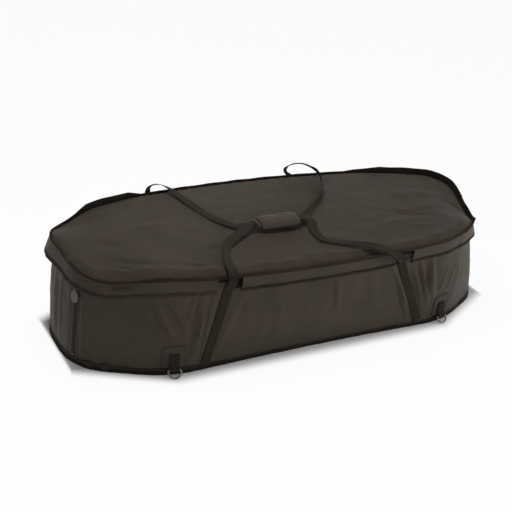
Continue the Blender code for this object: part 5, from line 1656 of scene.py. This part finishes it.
lid_thread = Bobbin()
for name, (start, end) in SKIRTS.items():
    places = np.linspace(start + 0.05, end - 0.05, int((end - start) * 8))
    height = HEM + HEM_TAPE_HEIGHT - 0.0022
    lid_thread.sew(on_skirt(places, height, 0.0012), outward_at(places, height), pitch=0.005)
seam_line = np.arange(0, ROUND + 0.1, 0.125)
seam_height = tape_low + np.interp(seam_line, around, stand, period=ROUND) * 0.30
seam_fan = np.interp(seam_line, around, fan, period=ROUND) * 0.30 ** 1.5
lid_thread.sew(form(seam_line, seam_height, 0.0012 + seam_fan), outward_at(seam_line, 0), pitch=0.005)
thread_lid = lid_thread.piece("thread_lid", THREAD)
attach(thread_lid, "lid")

flap_thread = Bobbin()
flap_normals = normals_of(flap_points[::-1])[::-1]
for row in (1, 28):
    flap_thread.sew(flap_points[row] + flap_normals[row] * 0.0001, flap_normals[row])
for column in (2, 37):
    flap_thread.sew(flap_points[:, column] + flap_normals[:, column] * 0.0001, flap_normals[:, column])
thread_flap = flap_thread.piece("thread_flap", DARK_THREAD)
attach(thread_flap, "handle_flap")
print("stitches", (tub_thread.count + lid_thread.count + flap_thread.count) // 16)

# %% [markdown]
# ## Boxed crosses on the loops
# A few centimetres above its strap each carry loop is sewn with a box and a cross in it, the
# strongest seam for webbing. The box lies close to where the loop would bend when it swings, so
# it is made from the loop's own path and follows its curve.

# %% Boxed crosses on the loops
def cross_box(name, start, length):
    """A sewn box with a cross in it, start metres up a half loop."""
    spine, across, normal = LOOP_PATHS[name]
    reach = lengths_along(spine)
    bobbin = Bobbin()

    def at(along, side, up_side):
        over = unit(read_at(along, reach, across))
        face = unit(read_at(along, reach, normal))
        sideways = over * (side * (WEB_WIDTH / 2 - 0.0028))[:, None]
        return read_at(along, reach, spine) + sideways + face * up_side * (WEB / 2 + 0.0002), face

    share = np.linspace(0, 1, 20)
    for up_side in (-1, 1):
        for (a, s), (b, e) in (((0, -1), (1, -1)), ((0, 1), (1, 1)), ((0, -1), (0, 1)), ((1, -1), (1, 1)),
                               ((0, -1), (1, 1)), ((0, 1), (1, -1))):
            along = start + length * (a + (b - a) * share)
            line, face = at(along, s + (e - s) * share, up_side)
            bobbin.sew(line, face * up_side, pitch=0.0032, long=0.0026, thick=0.0005)
    return bobbin.piece("boxed_cross_" + name, DARK_THREAD)


for name in LOOPS:
    box = cross_box(name, 0.034, 0.024)
    side = name.split("_")[0]
    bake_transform(box)
print("boxed crosses", len(LOOPS))

# %% [markdown]
# ## Floor and light
# A pale floor keeps the soft shadow close to the mat and fades to plain white further out. The
# world is white to the camera and in reflections, but gentler as a light. A small lamp above the
# lid gives it a slow fall of light to both sides, a low one in front shows the folds of the long
# wall, and one at the right opens the near end.

# %% Floor and light
FLOOR_AS_LIGHT, FLOOR_AS_SEEN = 0.80, 1.08
WORLD_AS_LIGHT, WORLD_AS_SEEN = 0.17, 1.0
FLOOR_LEVEL = -0.0006


def reckoned(tree, operation, *values):
    """A maths node fed with sockets or plain numbers."""
    node = tree.nodes.new("ShaderNodeMath")
    node.operation = operation
    for value, socket in zip(values, node.inputs):
        if isinstance(value, float):
            socket.default_value = value
        else:
            join(tree, value, socket)
    return node.outputs[0]


def seen_plainly(tree):
    """1 for rays from the camera, in reflections and through clear things, 0 for soft light."""
    path = tree.nodes.new("ShaderNodeLightPath")
    either = reckoned(tree, "MAXIMUM", path.outputs["Is Camera Ray"], path.outputs["Is Glossy Ray"])
    return reckoned(tree, "MAXIMUM", either, path.outputs["Is Transmission Ray"])


floor_mesh = bpy.data.meshes.new("studio_floor")
corners = [(x, y, FLOOR_LEVEL) for x, y in ((-12, -12), (12, -12), (12, 12), (-12, 12))]
floor_mesh.from_pydata(corners, [], [(0, 1, 2, 3)])
floor = bpy.data.objects.new("studio_floor", floor_mesh)
bpy.context.scene.collection.objects.link(floor)
floor_material = bpy.data.materials.new("pale_floor")
floor_material.use_nodes = True
floor_tree = floor_material.node_tree
floor_shader = floor_tree.nodes["Principled BSDF"]
floor_shader.inputs["Roughness"].default_value = 0.9
floor_shader.inputs["Specular IOR Level"].default_value = 0.0
seen = seen_plainly(floor_tree)
join(floor_tree, spread(floor_tree, seen, FLOOR_AS_LIGHT, FLOOR_AS_SEEN), floor_shader.inputs["Base Color"])
where = floor_tree.nodes.new("ShaderNodeSeparateXYZ")
join(floor_tree, coordinates(floor_tree, "Object"), where.inputs["Vector"])


def past(axis, start, end):
    """0 up to start metres from the middle along an axis and 1 at end, on both sides alike."""
    part = floor_tree.nodes.new("ShaderNodeMapRange")
    part.clamp = False
    part.inputs["From Min"].default_value = start
    part.inputs["From Max"].default_value = end
    join(floor_tree, reckoned(floor_tree, "ABSOLUTE", where.outputs[axis]), part.inputs["Value"])
    return reckoned(floor_tree, "MAXIMUM", part.outputs["Result"], 0.0)


corners_cut = reckoned(floor_tree, "ADD", past("X", 0.405, 0.610), past("Y", 0.106, 0.211))
off_plan = reckoned(floor_tree, "MAXIMUM", corners_cut, past("X", 0.590, 0.618))
beyond = floor_tree.nodes.new("ShaderNodeMapRange")
beyond.interpolation_type = "SMOOTHSTEP"
beyond.inputs["From Min"].default_value = 0.97
beyond.inputs["From Max"].default_value = 1.42
beyond.inputs["To Max"].default_value = 0.95
join(floor_tree, off_plan, beyond.inputs["Value"])
glow = floor_tree.nodes.new("ShaderNodeEmission")
glow.inputs["Color"].default_value = (1, 1, 1, 1)
glow.inputs["Strength"].default_value = 1.0
blended = floor_tree.nodes.new("ShaderNodeMixShader")
join(floor_tree, reckoned(floor_tree, "MULTIPLY", beyond.outputs["Result"], seen), blended.inputs["Fac"])
join(floor_tree, floor_shader.outputs[0], blended.inputs[1])
join(floor_tree, glow.outputs[0], blended.inputs[2])
join(floor_tree, blended.outputs[0], floor_tree.nodes["Material Output"].inputs["Surface"])
floor_mesh.materials.append(floor_material)

world = bpy.data.worlds.new("studio")
bpy.context.scene.world = world
world.use_nodes = True
world_tree = world.node_tree
background = world_tree.nodes["Background"]
background.inputs["Color"].default_value = (1, 1, 1, 1)
world_level = spread(world_tree, seen_plainly(world_tree), WORLD_AS_LIGHT, WORLD_AS_SEEN)
join(world_tree, world_level, background.inputs["Strength"])


def area_light(name, place, target, size, power):
    lamp = bpy.data.lights.new(name, "AREA")
    lamp.shape = "DISK"
    lamp.size = size
    lamp.energy = power
    thing = bpy.data.objects.new(name, lamp)
    thing.location = place
    thing.rotation_euler = (Vector(target) - Vector(place)).to_track_quat("-Z", "Y").to_euler()
    bpy.context.scene.collection.objects.link(thing)
    return thing


area_light("key_light", (-0.40, 0.15, 1.75), (-0.05, 0, 0.25), 0.50, 17)
area_light("front_light", (-0.9, -3.2, 0.9), (0, 0, 0.15), 0.9, 26)
area_light("side_light", (2.6, -1.6, 0.7), (0.45, 0, 0.1), 1.0, 30)
bpy.context.scene.view_settings.view_transform = "Standard"
print("lights", len(bpy.data.lights))

# %% [markdown]
# ## Finish
# The last line prints how many pieces were made.

# %% Finish
print("pieces made", len(MADE))
